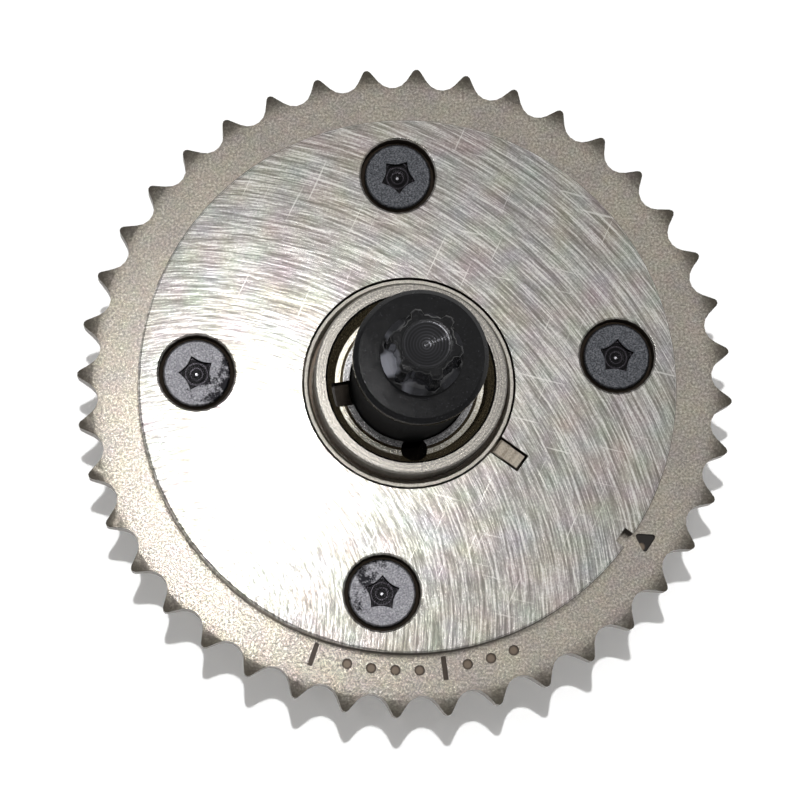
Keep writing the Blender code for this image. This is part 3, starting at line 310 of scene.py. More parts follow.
def ground_steel(settings):
    """Surface-ground steel plate under a film of oil: fine arcs drawn as the wheel's marks on its way out
    and back, centred near the small lamp's mirror point so that their light lines are painted glints, over a
    mottled grain, with a few long handling scratches and the faint colours of the oil. Its walls,
    counterbores and slot are painted dark brown, for oil and for painted shade, but for the rim at the lower
    left, painted as bright as the face for the lamp's sheen there.

    The real lines are about 0.1 mm apart. They are drawn 0.3 to 0.6 mm apart, as they show."""
    material, tree, shader, place = new_material("ground_plate")
    centre = (settings.glint_arc_centre_x / MM, settings.glint_arc_centre_y / MM, 0.0)
    radius, angle, _ = polar_parts(tree, place, centre)
    # Painted glints: arcs round the small lamp's mirror point, drawn as grinding marks
    arcs = tool_lines(tree, radius, angle, *OUT_GLINT_ARCS, 3.0, 0.7)
    second = (centre[0] + BACK_GLINT_OFFSET[0], centre[1] + BACK_GLINT_OFFSET[1], 0.0)
    radius, angle, _ = polar_parts(tree, place, second)
    back = tool_lines(tree, radius, angle, *BACK_GLINT_ARCS, 2.0, 0.7)
    grain = add(tree, "ShaderNodeTexNoise", {"Vector": place, "Scale": FACE_GRAIN, "Detail": 3.0,
                                             "Roughness": 0.7})
    scratches = None
    for turn, spacing in SCRATCHES:
        turned = add(tree, "ShaderNodeMapping", {"Vector": place, "Rotation": (0, 0, math.radians(turn))})
        parts = add(tree, "ShaderNodeSeparateXYZ", {0: turned}).node
        lines = tool_lines(tree, parts.outputs["X"], parts.outputs["Y"], spacing, SCRATCH_LENGTH, 1.0)
        lines = add(tree, "ShaderNodeMapRange", {"Value": lines, "From Min": 0.74, "From Max": 0.82,
                                                 "To Max": 0.6})
        if scratches:
            lines = add(tree, "ShaderNodeMath", {0: lines, 1: scratches}, operation="MAXIMUM")
        scratches = lines
    tone = 0.0
    for pattern, part in zip((arcs, back, grain), GLINT_AND_GRAIN_SHARES):
        tone = add(tree, "ShaderNodeMath", {0: pattern, 1: part, 2: tone}, operation="MULTIPLY_ADD")
    colour = add(tree, "ShaderNodeValToRGB", {0: tone},
                 [(0.40, settings.ground_dark), (0.50, settings.ground_mid), (0.60, settings.ground_light)])
    colour = add(tree, "ShaderNodeMix", {0: scratches, 6: colour, 7: SCRATCH_LIGHT}, data_type="RGBA", out=2)
    oil = add(tree, "ShaderNodeTexNoise", {"Vector": place, "Scale": OIL_SCALE, "Detail": 1.0}, out="Color")
    colour = add(tree, "ShaderNodeMix", {0: OIL_SHARE, 6: colour, 7: oil}, data_type="RGBA",
                 blend_type="OVERLAY", out=2)
    radius, angle, height = polar_parts(tree, place)
    outside = add(tree, "ShaderNodeMath", {0: radius, 1: RIM_START}, operation="GREATER_THAN")
    # Painted sheen: towards the lower left the rim is lifted to count as face, so it keeps the bright face
    # colour
    sheen_side = add(tree, "ShaderNodeMath", {0: angle, 1: -SHEEN_SIDE_ANGLE}, operation="ADD")
    sheen_side = add(tree, "ShaderNodeMath", {0: sheen_side}, operation="COSINE")
    sheen_side = add(tree, "ShaderNodeMapRange", {"Value": sheen_side, "From Min": 0.6, "From Max": 0.9,
                                             "To Max": SHEEN_SIDE_LIFT})
    level = add(tree, "ShaderNodeMath", {0: outside, 1: sheen_side, 2: height}, operation="MULTIPLY_ADD")
    # Oil and painted shade: walls and recesses deeper than the face are painted dark brown
    face = add(tree, "ShaderNodeMapRange", {"Value": level, "From Min": COVER_FACE - WALL_DEPTH,
                                            "From Max": COVER_FACE - FACE_DEPTH})
    colour = add(tree, "ShaderNodeMix", {0: face, 6: settings.oil_and_shade_brown, 7: colour}, data_type="RGBA", out=2)
    tree.links.new(colour, shader.inputs["Base Color"])
    metal = add(tree, "ShaderNodeMapRange", {"Value": face, "To Min": 0.35, "To Max": 1.0})
    tree.links.new(metal, shader.inputs["Metallic"])
    rough = add(tree, "ShaderNodeMapRange", {"Value": grain, "From Min": 0.3, "From Max": 0.7,
                                             "To Min": GROUND_ROUGH[0], "To Max": GROUND_ROUGH[1]})
    rough = add(tree, "ShaderNodeMapRange", {"Value": face, "To Min": 0.6, "To Max": rough})
    tree.links.new(rough, shader.inputs["Roughness"])
    relief = add(tree, "ShaderNodeMath", {0: scratches, 1: 0.2, 2: tone}, operation="MULTIPLY_ADD")
    bump = add(tree, "ShaderNodeBump", {"Height": relief, "Strength": 0.35, "Distance": GROUND_RELIEF})
    tree.links.new(bump, shader.inputs["Normal"])
    return material


def sintered_steel(settings):
    """Sintered and blasted steel: an even grain of open pores, warm grey and faintly tinted by oil.

    The teeth darken towards their tips and on their flanks, as painted shade of the tapered tips and the
    upright walls. The sunk marks are painted with brown oil and with painted shade, darker the deeper they
    sink. The pores are about 0.15 mm apart, and are drawn 0.35 mm apart, as they show."""
    material, tree, shader, place = new_material("blasted_sinter")
    radius, angle, height = polar_parts(tree, place)
    grain = add(tree, "ShaderNodeTexNoise", {"Vector": place, "Scale": PORE_SCALE, **FINE_GRAIN})
    cloud = add(tree, "ShaderNodeTexNoise", {"Vector": place, "Scale": CLOUD_SCALE, "Detail": 3.0})
    tint = add(tree, "ShaderNodeTexNoise", {"Vector": place, "Scale": TINT_SCALE, "Detail": 3.0},
               out="Color")
    colour = add(tree, "ShaderNodeValToRGB", {0: grain},
                 [(0.34, settings.sintered_dark), (0.50, settings.sintered_mid),
                  (0.68, settings.sintered_light)])
    warm = add(tree, "ShaderNodeValToRGB", {0: cloud}, [(0.36, CLOUD_TONES[0]), (0.64, CLOUD_TONES[1])])
    colour = add(tree, "ShaderNodeMix", {0: 0.5, 6: colour, 7: warm}, data_type="RGBA",
                 blend_type="OVERLAY", out=2)
    colour = add(tree, "ShaderNodeMix", {0: 0.08, 6: colour, 7: tint}, data_type="RGBA",
                 blend_type="OVERLAY", out=2)
    # Painted shade: the face darkens from the tooth root towards the tapered tip
    edge = add(tree, "ShaderNodeMath", {0: cloud, 1: 1.6, 2: radius}, operation="MULTIPLY_ADD")
    edge = add(tree, "ShaderNodeMath", {0: grain, 1: -3.0, 2: edge}, operation="MULTIPLY_ADD")
    tip = add(tree, "ShaderNodeMapRange", {"Value": edge, "From Min": TOOTH_ROOT,
                                           "From Max": TOOTH_TIP, "To Max": 0.85})
    # Painted shade: upright walls beyond the teeth's root, the flanks, darken too
    upright = add(tree, "ShaderNodeTexCoord", out="Normal")
    upright = add(tree, "ShaderNodeSeparateXYZ", {0: upright}, out="Z")
    upright = add(tree, "ShaderNodeMath", {0: upright}, operation="ABSOLUTE")
    wall = add(tree, "ShaderNodeMapRange", {"Value": upright, "From Min": 0.2, "From Max": 0.7,
                                            "To Min": 0.9, "To Max": 0.0})
    toothed = add(tree, "ShaderNodeMath", {0: radius, 1: FLANK_RADIUS}, operation="GREATER_THAN")
    flank = add(tree, "ShaderNodeMath", {0: wall, 1: toothed}, operation="MULTIPLY")
    tip = add(tree, "ShaderNodeMath", {0: tip, 1: flank}, operation="MAXIMUM")
    colour = add(tree, "ShaderNodeMix", {0: tip, 6: colour, 7: settings.tooth_shade_dark}, data_type="RGBA", out=2)
    # Oil and painted shade in the sunk marks: darker the deeper, and the dots lighter at their centres than
    # round their walls
    depth = add(tree, "ShaderNodeMapRange", {"Value": height, "From Min": RING_FACE - 0.8,
                                             "From Max": RING_FACE})
    oiled_and_shaded = add(tree, "ShaderNodeValToRGB", {0: depth}, MARK_OIL_AND_SHADE_TONES)
    step = DOT_STEP * MARK_CIRCLE
    along = add(tree, "ShaderNodeMath", {0: angle, 1: 1.0 / DOT_STEP, 2: 0.5 - DOT_ANGLE / DOT_STEP},
                operation="MULTIPLY_ADD")
    along = add(tree, "ShaderNodeMath", {0: along}, operation="FRACT")
    along = add(tree, "ShaderNodeMath", {0: along, 1: step, 2: -step / 2}, operation="MULTIPLY_ADD")
    outward = add(tree, "ShaderNodeMath", {0: radius, 1: -MARK_CIRCLE}, operation="ADD")
    spot = add(tree, "ShaderNodeCombineXYZ", {"X": along, "Y": outward})
    spot = add(tree, "ShaderNodeVectorMath", {0: spot}, operation="LENGTH", out="Value")
    spot = add(tree, "ShaderNodeMapRange", {"Value": spot, "From Min": 0.5, "From Max": 0.85,
                                            "To Min": 1.0, "To Max": 0.0})
    tick = add(tree, "ShaderNodeMath", {0: angle, 1: TICK_ANGLE, 2: TICK_HALF}, operation="COMPARE")
    spot = add(tree, "ShaderNodeMath", {0: spot, 1: tick}, operation="SUBTRACT", use_clamp=True)
    oiled_and_shaded = add(tree, "ShaderNodeMix", {0: spot, 6: oiled_and_shaded, 7: settings.mark_brown}, data_type="RGBA", out=2)
    sunk = add(tree, "ShaderNodeMapRange", {"Value": height, "From Min": RING_FACE - 0.26,
                                            "From Max": RING_FACE - 0.08, "To Min": 1.0, "To Max": 0.0})
    inside = add(tree, "ShaderNodeMath", {0: radius, 1: MARKS_WITHIN}, operation="LESS_THAN")
    shallow = add(tree, "ShaderNodeMath", {0: height, 1: MARKS_ABOVE}, operation="GREATER_THAN")
    marked = add(tree, "ShaderNodeMath", {0: sunk, 1: inside}, operation="MULTIPLY")
    marked = add(tree, "ShaderNodeMath", {0: marked, 1: shallow}, operation="MULTIPLY")
    colour = add(tree, "ShaderNodeMix", {0: marked, 6: colour, 7: oiled_and_shaded}, data_type="RGBA", out=2)
    tree.links.new(colour, shader.inputs["Base Color"])
    metal = add(tree, "ShaderNodeMapRange", {"Value": marked, "To Min": 0.9, "To Max": 0.3})
    tree.links.new(metal, shader.inputs["Metallic"])
    rough = add(tree, "ShaderNodeMapRange", {"Value": grain, "From Min": 0.3, "From Max": 0.7,
                                             "To Min": SINTER_ROUGH[0], "To Max": SINTER_ROUGH[1]})
    rough = add(tree, "ShaderNodeMath", {0: wall, 1: 0.25, 2: rough}, operation="MULTIPLY_ADD")
    tree.links.new(rough, shader.inputs["Roughness"])
    bump = add(tree, "ShaderNodeBump", {"Height": grain, "Strength": 0.2, "Distance": SINTER_RELIEF})
    tree.links.new(bump, shader.inputs["Normal"])
    return material


def hub_steel(settings):
    """Turned and blasted steel: a speckled rim, a dark brown mouth, and the shoulder round the bolt polished
    bright, with the fine rings of the turning tool. The mouth, the bore, the outer wall and the depths under
    the shoulder are painted dark, for oil and for painted shade."""
    material, tree, shader, place = new_material("turned_hub")
    radius, angle, height = polar_parts(tree, place)
    speckle = add(tree, "ShaderNodeTexNoise", {"Vector": place, "Scale": HUB_GRAIN, **FINE_GRAIN})
    rings = tool_lines(tree, radius, angle, *HUB_LINES)
    share = add(tree, "ShaderNodeMapRange", {"Value": radius, "From Max": HUB_OUTSIDE})
    zones = add(tree, "ShaderNodeValToRGB", {0: share},
                [(0.0, BORE_OIL_AND_SHADE), (BORE_EDGE / HUB_OUTSIDE, settings.band_grey),
                 (BAND_EDGE / HUB_OUTSIDE, GROOVE_BROWN),
                 (GROOVE_OUTER / HUB_OUTSIDE, settings.shoulder_cream),
                 (SHOULDER_EDGE / HUB_OUTSIDE, settings.mouth_olive_and_shade),
                 (MOUTH_EDGE / HUB_OUTSIDE, settings.hub_grey), (RIM_EDGE / HUB_OUTSIDE, WALL_OIL_AND_SHADE)])
    zones.node.color_ramp.interpolation = "CONSTANT"
    grains = add(tree, "ShaderNodeValToRGB", {0: speckle}, HUB_GRAINS)
    colour = add(tree, "ShaderNodeMix", {0: 0.8, 6: zones, 7: grains}, data_type="RGBA",
                 blend_type="OVERLAY", out=2)
    turned = add(tree, "ShaderNodeValToRGB", {0: rings}, HUB_RINGS)
    colour = add(tree, "ShaderNodeMix", {0: 0.5, 6: colour, 7: turned}, data_type="RGBA",
                 blend_type="OVERLAY", out=2)
    # Oil and painted shade: under the shoulder, inside the mouth, the hub turns dark brown
    shaded_depth = add(tree, "ShaderNodeMapRange", {"Value": height, "From Min": SHOULDER_HEIGHT - 0.5,
                                             "From Max": SHOULDER_HEIGHT - 0.15,
                                             "To Min": 1.0, "To Max": 0.0})
    within = add(tree, "ShaderNodeMath", {0: radius, 1: MOUTH_EDGE}, operation="LESS_THAN")
    shaded_depth = add(tree, "ShaderNodeMath", {0: shaded_depth, 1: within}, operation="MULTIPLY")
    colour = add(tree, "ShaderNodeMix", {0: shaded_depth, 6: colour, 7: DEPTH_OIL_AND_SHADE}, data_type="RGBA", out=2)
    tree.links.new(colour, shader.inputs["Base Color"])
    top = add(tree, "ShaderNodeMapRange", {"Value": height, "From Min": HUB_TOP - 0.6,
                                           "From Max": HUB_TOP - 0.3})
    bright = add(tree, "ShaderNodeMath", {0: radius, 1: SHOULDER_EDGE}, operation="LESS_THAN")
    bare = add(tree, "ShaderNodeMath", {0: top, 1: bright}, operation="MAXIMUM")
    metal = add(tree, "ShaderNodeMapRange", {"Value": bare, "To Min": 0.5, "To Max": 1.0})
    tree.links.new(metal, shader.inputs["Metallic"])
    rough = add(tree, "ShaderNodeMapRange", {"Value": speckle, "From Min": 0.3, "From Max": 0.7,
                                             "To Min": HUB_ROUGH[0], "To Max": HUB_ROUGH[1]})
    tree.links.new(rough, shader.inputs["Roughness"])
    relief = add(tree, "ShaderNodeMath", {0: speckle, 1: rings}, operation="ADD")
    bump = add(tree, "ShaderNodeBump", {"Height": relief, "Strength": 0.2, "Distance": HUB_RELIEF})
    tree.links.new(bump, shader.inputs["Normal"])
    return material


def black_oxide(settings):
    """Turned steel blacked in hot salts and wet with oil: near black and glossy, with pinpoint glints where
    grit stands through the film. The dish of the star shows dark metal, with the tool's rings 0.5 mm apart.
    The scoops where the flutes run out are painted grey, and lighter towards the left as a painted
    reflection of the light from that side."""
    material, tree, shader, place = new_material("oiled_black_oxide")
    radius, angle, height = polar_parts(tree, place)
    speckle = add(tree, "ShaderNodeTexNoise", {"Vector": place, "Scale": OXIDE_GRAIN, **FINE_GRAIN})
    film = add(tree, "ShaderNodeTexNoise", {"Vector": place, "Scale": FILM_SCALE, "Detail": 3.0})
    colour = add(tree, "ShaderNodeValToRGB", {0: speckle},
                 [(0.46, settings.oxide_black), (0.64, OXIDE_TONES[0]), (0.76, OXIDE_TONES[1])])
    turn = add(tree, "ShaderNodeMath", {0: angle, 1: FLUTES, 2: -FLUTES * SCOOP_ANGLE},
               operation="MULTIPLY_ADD")
    turn = add(tree, "ShaderNodeMath", {0: turn}, operation="COSINE")
    across = add(tree, "ShaderNodeMapRange", {"Value": turn, "From Min": -1.0})
    rise = add(tree, "ShaderNodeMapRange", {"Value": height, "From Min": SCOOP_FOOT, "From Max": SCOOP_TOP,
                                            "To Min": -1.0})
    rise = add(tree, "ShaderNodeMath", {0: rise, 1: rise}, operation="MULTIPLY")
    lens = add(tree, "ShaderNodeMath", {0: across, 1: rise}, operation="SUBTRACT")
    lens = add(tree, "ShaderNodeMapRange", {"Value": lens, "From Min": 0.03, "From Max": 0.35})
    # Painted reflection: the scoops grow lighter towards the left and are nearly black on the far side
    side = add(tree, "ShaderNodeMath", {0: angle, 1: -REFLECTION_SIDE_ANGLE}, operation="ADD")
    side = add(tree, "ShaderNodeMath", {0: side}, operation="COSINE")
    side = add(tree, "ShaderNodeMapRange", {"Value": side, "From Min": 0.55, "To Min": 0.07})
    painted_scoop_reflection = add(tree, "ShaderNodeMath", {0: lens, 1: side}, operation="MULTIPLY")
    colour = add(tree, "ShaderNodeMix", {0: painted_scoop_reflection, 6: colour, 7: settings.scoop_grey_and_reflection}, data_type="RGBA",
                 out=2)
    rings = add(tree, "ShaderNodeMath", {0: radius, 1: RING_WAVE}, operation="MULTIPLY")
    rings = add(tree, "ShaderNodeMath", {0: rings}, operation="SINE")
    dish = add(tree, "ShaderNodeMapRange", {"Value": radius, "From Min": DISH_RADIUS - 0.2,
                                            "From Max": DISH_RADIUS, "To Min": 1.0, "To Max": 0.0})
    ringed = add(tree, "ShaderNodeValToRGB", {0: rings}, DISH_TONES)
    colour = add(tree, "ShaderNodeMix", {0: dish, 6: colour, 7: ringed}, data_type="RGBA", out=2)
    tree.links.new(colour, shader.inputs["Base Color"])
    tree.links.new(dish, shader.inputs["Metallic"])
    shader.inputs["Specular IOR Level"].default_value = 0.25
    gloss = add(tree, "ShaderNodeMapRange", {"Value": film, "From Min": 0.35, "From Max": 0.65,
                                             "To Min": OXIDE_ROUGH[0], "To Max": OXIDE_ROUGH[1]})
    gloss = add(tree, "ShaderNodeMath", {0: dish, 1: DISH_BLUR, 2: gloss}, operation="MULTIPLY_ADD")
    flank = add(tree, "ShaderNodeMapRange", {"Value": height, "From Min": FLANGE_BOTTOM - 0.5,
                                             "From Max": FLANGE_BOTTOM, "To Min": 1.0, "To Max": 0.0})
    rough = add(tree, "ShaderNodeMapRange", {"Value": flank, "To Min": gloss, "To Max": 0.75})
    tree.links.new(rough, shader.inputs["Roughness"])
    rings = add(tree, "ShaderNodeMath", {0: rings, 1: dish}, operation="MULTIPLY")
    grit = add(tree, "ShaderNodeTexNoise", {"Vector": place, "Scale": GRIT_SCALE, "Detail": 0.0})
    grit = add(tree, "ShaderNodeMapRange", {"Value": grit, "From Min": 0.74, "From Max": 0.8, "To Max": 4.0})
    fine = add(tree, "ShaderNodeMath", {0: speckle, 1: 0.6, 2: rings}, operation="MULTIPLY_ADD")
    fine = add(tree, "ShaderNodeMath", {0: fine, 1: grit}, operation="ADD")
    bump = add(tree, "ShaderNodeBump", {"Height": fine, "Strength": 1.0, "Distance": OXIDE_RELIEF})
    tree.links.new(bump, shader.inputs["Normal"])
    return material


def phosphated_screw(settings, name, centre, worn, lean):
    """Phosphated screw steel: dark blue-grey and finely pitted, with a black oiled socket that shows
    the rings of its forging punch. Where the top is rubbed to bare silver-grey, flakes of the old
    black finish are left towards one side."""
    material, tree, shader, place = new_material(name)
    radius, angle, height = polar_parts(tree, place, centre)
    pits = add(tree, "ShaderNodeTexNoise", {"Vector": place, "Scale": PIT_SCALE, **FINE_GRAIN})
    colour = add(tree, "ShaderNodeValToRGB", {0: pits},
                 [(0.34, PIT_TONES[0]), (0.50, settings.phosphate_grey), (0.70, PIT_TONES[1])])
    if worn:
        aside = add(tree, "ShaderNodeVectorMath", {0: place, 1: centre}, operation="SUBTRACT")
        aside = add(tree, "ShaderNodeVectorMath", {0: aside, 1: (*lean, 0.0)}, operation="DOT_PRODUCT",
                    out="Value")
        flakes = add(tree, "ShaderNodeTexNoise", {"Vector": place, "Scale": FLAKE_SCALE, "Detail": 6.0,
                                                  "Roughness": 0.72})
        flakes = add(tree, "ShaderNodeMath", {0: aside, 1: 0.035, 2: flakes}, operation="MULTIPLY_ADD")
        flakes = add(tree, "ShaderNodeMath", {0: pits, 1: -0.3, 2: flakes}, operation="MULTIPLY_ADD")
        left = add(tree, "ShaderNodeMapRange", {"Value": flakes, "From Min": 0.45, "From Max": 0.55})
        bare = add(tree, "ShaderNodeValToRGB", {0: pits},
                   [(0.34, BARE_TONES[0]), (0.50, settings.bare_grey), (0.70, BARE_TONES[1])])
        colour = add(tree, "ShaderNodeMix", {0: left, 6: bare, 7: FLAKE_BLACK}, data_type="RGBA", out=2)
    wave = add(tree, "ShaderNodeMath", {0: radius, 1: SOCKET_WAVE}, operation="MULTIPLY")
    wave = add(tree, "ShaderNodeMath", {0: wave}, operation="SINE")
    socket = add(tree, "ShaderNodeValToRGB", {0: wave}, SOCKET_TONES)
    point = add(tree, "ShaderNodeMath", {0: radius, 1: POINT_RADIUS}, operation="LESS_THAN")
    socket = add(tree, "ShaderNodeMix", {0: point, 6: socket, 7: POINT_GREY}, data_type="RGBA", out=2)
    face = add(tree, "ShaderNodeMapRange", {"Value": height, "From Min": SCREW_TOP - 0.45,
                                            "From Max": SCREW_TOP - 0.15})
    colour = add(tree, "ShaderNodeMix", {0: face, 6: socket, 7: colour}, data_type="RGBA", out=2)
    tree.links.new(colour, shader.inputs["Base Color"])
    shader.inputs["Metallic"].default_value = 0.85
    rough = add(tree, "ShaderNodeMapRange", {"Value": face, "To Min": 0.16, "To Max": 0.46})
    tree.links.new(rough, shader.inputs["Roughness"])
    rings = tool_lines(tree, radius, angle, *SCREW_LINES)
    relief = add(tree, "ShaderNodeMath", {0: pits, 1: rings}, operation="ADD")
    bump = add(tree, "ShaderNodeBump", {"Height": relief, "Strength": 0.4, "Distance": SCREW_RELIEF})
    tree.links.new(bump, shader.inputs["Normal"])
    return material


def turned_finish(name, dark, light, spacing, length, metallic, rough):
    """Metal or plastic with a two-tone grain, drawn out round the axis where its lines are long: seals
    moulded in nylon, tempered spring strip, hardened and polished pins, turned mild steel."""
    material, tree, shader, place = new_material(name)
    radius, angle, _ = polar_parts(tree, place)
    lines = tool_lines(tree, radius, angle, spacing, length)
    speckle = add(tree, "ShaderNodeTexNoise", {"Vector": place, "Scale": FINISH_GRAIN, "Detail": 3.0,
                                               "Roughness": 0.7})
    both = add(tree, "ShaderNodeMath", {0: lines, 1: speckle}, operation="ADD")
    half = add(tree, "ShaderNodeMath", {0: both, 1: 0.5}, operation="MULTIPLY")
    colour = add(tree, "ShaderNodeValToRGB", {0: half}, [(0.40, dark), (0.60, light)])
    tree.links.new(colour, shader.inputs["Base Color"])
    shader.inputs["Metallic"].default_value = metallic
    spread = add(tree, "ShaderNodeMapRange", {"Value": lines, "From Min": 0.3, "From Max": 0.7,
                                              "To Min": rough[0], "To Max": rough[1]})
    tree.links.new(spread, shader.inputs["Roughness"])
    bump = add(tree, "ShaderNodeBump", {"Height": both, "Strength": 0.3, "Distance": FINISH_RELIEF})
    tree.links.new(bump, shader.inputs["Normal"])
    return material


def shared_finish(name, *values):
    """The turned finish of that name, made when it is first asked for."""
    return bpy.data.materials.get(name) or turned_finish(name, *values)


def body_of(node):
    """The CAD body that a node belongs to."""
    for body, nodes in FRAME["record"]["behaviour"]["bodies"].items():
        if node in nodes:
            return body
    raise ValueError(node)


def smooth_copy(node, rounding):
    """A copy of a solid with its flats merged and its corners rounded."""
    mesh = bmesh.new()
    mesh.from_mesh(FRAME["nodes"][node].data)
    bmesh.ops.remove_doubles(mesh, verts=mesh.verts, dist=MERGE_DISTANCE)
    bmesh.ops.dissolve_limit(mesh, angle_limit=FLAT_ANGLE, verts=mesh.verts, edges=mesh.edges)
    corners = [edge for edge in mesh.edges if edge.is_manifold and edge.calc_face_angle() > CORNER_ANGLE]
    bmesh.ops.bevel(mesh, geom=corners, offset=rounding, offset_type="OFFSET", affect="EDGES",
                    segments=2, profile=0.5, material=-1, clamp_overlap=True)
    return mesh


def finish_piece(name, mesh, node, material):
    """The piece that stands for a node: it rides on the node's body."""
    data = bpy.data.meshes.new(name)
    mesh.to_mesh(data)
    mesh.free()
    data.shade_smooth()
    data.set_sharp_from_angle(angle=SHARP_ANGLE)
    data.materials.append(material)
    piece = bpy.data.objects.new(name, data)
    bpy.context.scene.collection.objects.link(piece)
    even = piece.modifiers.new("even_flats", "WEIGHTED_NORMAL")
    even.keep_sharp = True
    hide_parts(node)
    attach(piece, body_of(node))
    return piece


def paint_node(node, material):
    """A solid kept as it is, with its material."""
    data = FRAME["nodes"][node].data
    data.materials.clear()
    data.materials.append(material)


class FinishSettings(bpy.types.PropertyGroup):
    """Sizes and colours of the pieces' finishes."""
    rounding: bpy.props.FloatProperty(
        name="Edge rounding", description="Rounding of machined corners", default=0.00008,
        min=0.00001, max=0.001, precision=5, unit="LENGTH")
    sintered_rounding: bpy.props.FloatProperty(
        name="Sintered rounding", description="Rounding of sintered corners", default=0.00022,
        min=0.00001, max=0.001, precision=5, unit="LENGTH")
    # Centre of the arcs, near the small lamp's mirror point on the cover: their light lines are painted
    # glints
    glint_arc_centre_x: bpy.props.FloatProperty(
        name="Arc centre X", description="Centre of the grinding arcs on the cover", default=-0.041,
        precision=4, unit="LENGTH")
    glint_arc_centre_y: bpy.props.FloatProperty(
        name="Arc centre Y", description="Centre of the grinding arcs on the cover", default=-0.043,
        precision=4, unit="LENGTH")
    ground_dark: bpy.props.StringProperty(
        name="Ground steel, dark", description="Hex colour between the scratches", default="#86827b")
    ground_mid: bpy.props.StringProperty(
        name="Ground steel", description="Hex colour of the ground face", default="#b4b0aa")
    # The light tone also draws the crests of the arcs, which are painted glints
    ground_light: bpy.props.StringProperty(
        name="Ground steel, light", description="Hex colour of the scratches", default="#e9e6e0")
    sintered_dark: bpy.props.StringProperty(
        name="Sintered steel, pores", description="Hex colour of the open pores", default="#7d776f")
    sintered_mid: bpy.props.StringProperty(
        name="Sintered steel", description="Hex colour of the blasted face", default="#aaa49b")
    sintered_light: bpy.props.StringProperty(
        name="Sintered steel, light", description="Hex colour of the grain's crests", default="#d8d3c9")
    tooth_shade_dark: bpy.props.StringProperty(
        name="Tooth tips", description="Hex colour that the teeth darken to", default="#554f46")
    hub_grey: bpy.props.StringProperty(
        name="Hub rim", description="Hex colour of the hub's blasted rim", default="#959390")
    band_grey: bpy.props.StringProperty(
        name="Hub seat", description="Hex colour of the band that the bolt has worn", default="#a6a7ac")
    shoulder_cream: bpy.props.StringProperty(
        name="Hub shoulder", description="Hex colour of the polished shoulder", default="#cdcac2")
    # The mouth's dark olive is oil and painted shade
    mouth_olive_and_shade: bpy.props.StringProperty(
        name="Hub mouth", description="Hex colour of the oiled cone in the mouth", default="#5c5442")
    # Also stands for painted shade in the cover's walls, counterbores and slot
    oil_and_shade_brown: bpy.props.StringProperty(
        name="Oil brown", description="Hex colour of oiled walls and recesses", default="#2c241c")
    mark_brown: bpy.props.StringProperty(
        name="Mark brown", description="Hex colour of the sunk timing marks", default="#6c5e50")
    oxide_black: bpy.props.StringProperty(
        name="Black oxide", description="Hex colour of the bolt", default="#060607")
    # The scoops' grey is partly a painted reflection, strongest on the left
    scoop_grey_and_reflection: bpy.props.StringProperty(
        name="Scoops", description="Hex colour of the scoops at the foot of the star", default="#6f7077")
    phosphate_grey: bpy.props.StringProperty(
        name="Screw grey", description="Hex colour of the screws' finish", default="#595b60")
    bare_grey: bpy.props.StringProperty(
        name="Rubbed screw", description="Hex colour of the screws rubbed bare", default="#9d9ca2")


class StageSettings(bpy.types.PropertyGroup):
    """Camera, lamps and floor."""
    camera_place: bpy.props.FloatVectorProperty(
        name="Camera", description="Place of the camera", default=(-0.03887, -0.08606, 0.56648),
        subtype="XYZ", unit="LENGTH", precision=5)
    camera_tilt: bpy.props.FloatVectorProperty(
        name="Camera tilt", description="Tilt about X and about Y of the view straight down",
        default=(math.radians(8.997), math.radians(-4.076)), size=2)
    lens: bpy.props.FloatProperty(
        name="Lens", description="Focal length on a 36 mm sensor, in millimetres", default=128.83)
    lamp_place: bpy.props.FloatVectorProperty(
        name="Small lamp", description="Place of the small lamp that casts the teeth's shadow",
        default=(-0.0444, 0.009, 0.6837), subtype="XYZ", unit="LENGTH", precision=5)
    lamp_power: bpy.props.FloatProperty(
        name="Small lamp, light", description="Power that lights and casts shadows", default=11.5,
        unit="POWER")
    glint_power: bpy.props.FloatProperty(
        name="Small lamp, glint", description="Power that shows in glossy metal", default=0.26,
        unit="POWER")
    soft_place: bpy.props.FloatVectorProperty(
        name="Soft lamp", description="Place of the round soft lamp", default=(-0.011, 0.075, 0.685),
        subtype="XYZ", unit="LENGTH", precision=5)
    soft_power: bpy.props.FloatProperty(
        name="Soft lamp, light", description="Power of the round soft lamp", default=0.16, unit="POWER")
    side_place: bpy.props.FloatVectorProperty(
        name="Side lamp", description="Place of the lamp to the left, which glints in dark steel",
        default=(-0.29, -0.015, 0.67), subtype="XYZ", unit="LENGTH", precision=5)
    side_power: bpy.props.FloatProperty(
        name="Side lamp, light", description="Power of the lamp to the left", default=0.15, unit="POWER")
    sky_level: bpy.props.FloatProperty(
        name="Sky level", description="Strength of the light from all round", default=1.0)
    floor_size: bpy.props.FloatProperty(
        name="Floor size", description="Side of the floor", default=6.0, unit="LENGTH")


class SPROCKET_OT_housing(bpy.types.Operator):
    """Finish the toothed housing and the rear cover"""
    bl_idname = "sprocket.housing"
    bl_label = "Sprocket Housing"

    def execute(self, context):
        settings = context.scene.sprocket_finish
        material = sintered_steel(settings)
        mesh = smooth_copy("sprocket_housing", settings.sintered_rounding)
        finish_piece("toothed_housing", mesh, "sprocket_housing", material)
        plate = shared_finish(*SHARED_FINISHES["cover_steel"])
        mesh = smooth_copy("rear_cover", settings.sintered_rounding)
        finish_piece("rear_plate", mesh, "rear_cover", plate)
        return {"FINISHED"}


class SPROCKET_OT_cover(bpy.types.Operator):
    """Finish the ground front cover"""
    bl_idname = "sprocket.cover"
    bl_label = "Front Cover"

    def execute(self, context):
        settings = context.scene.sprocket_finish
        material = ground_steel(settings)
        mesh = smooth_copy("front_cover", settings.rounding)
        finish_piece("ground_cover", mesh, "front_cover", material)
        return {"FINISHED"}


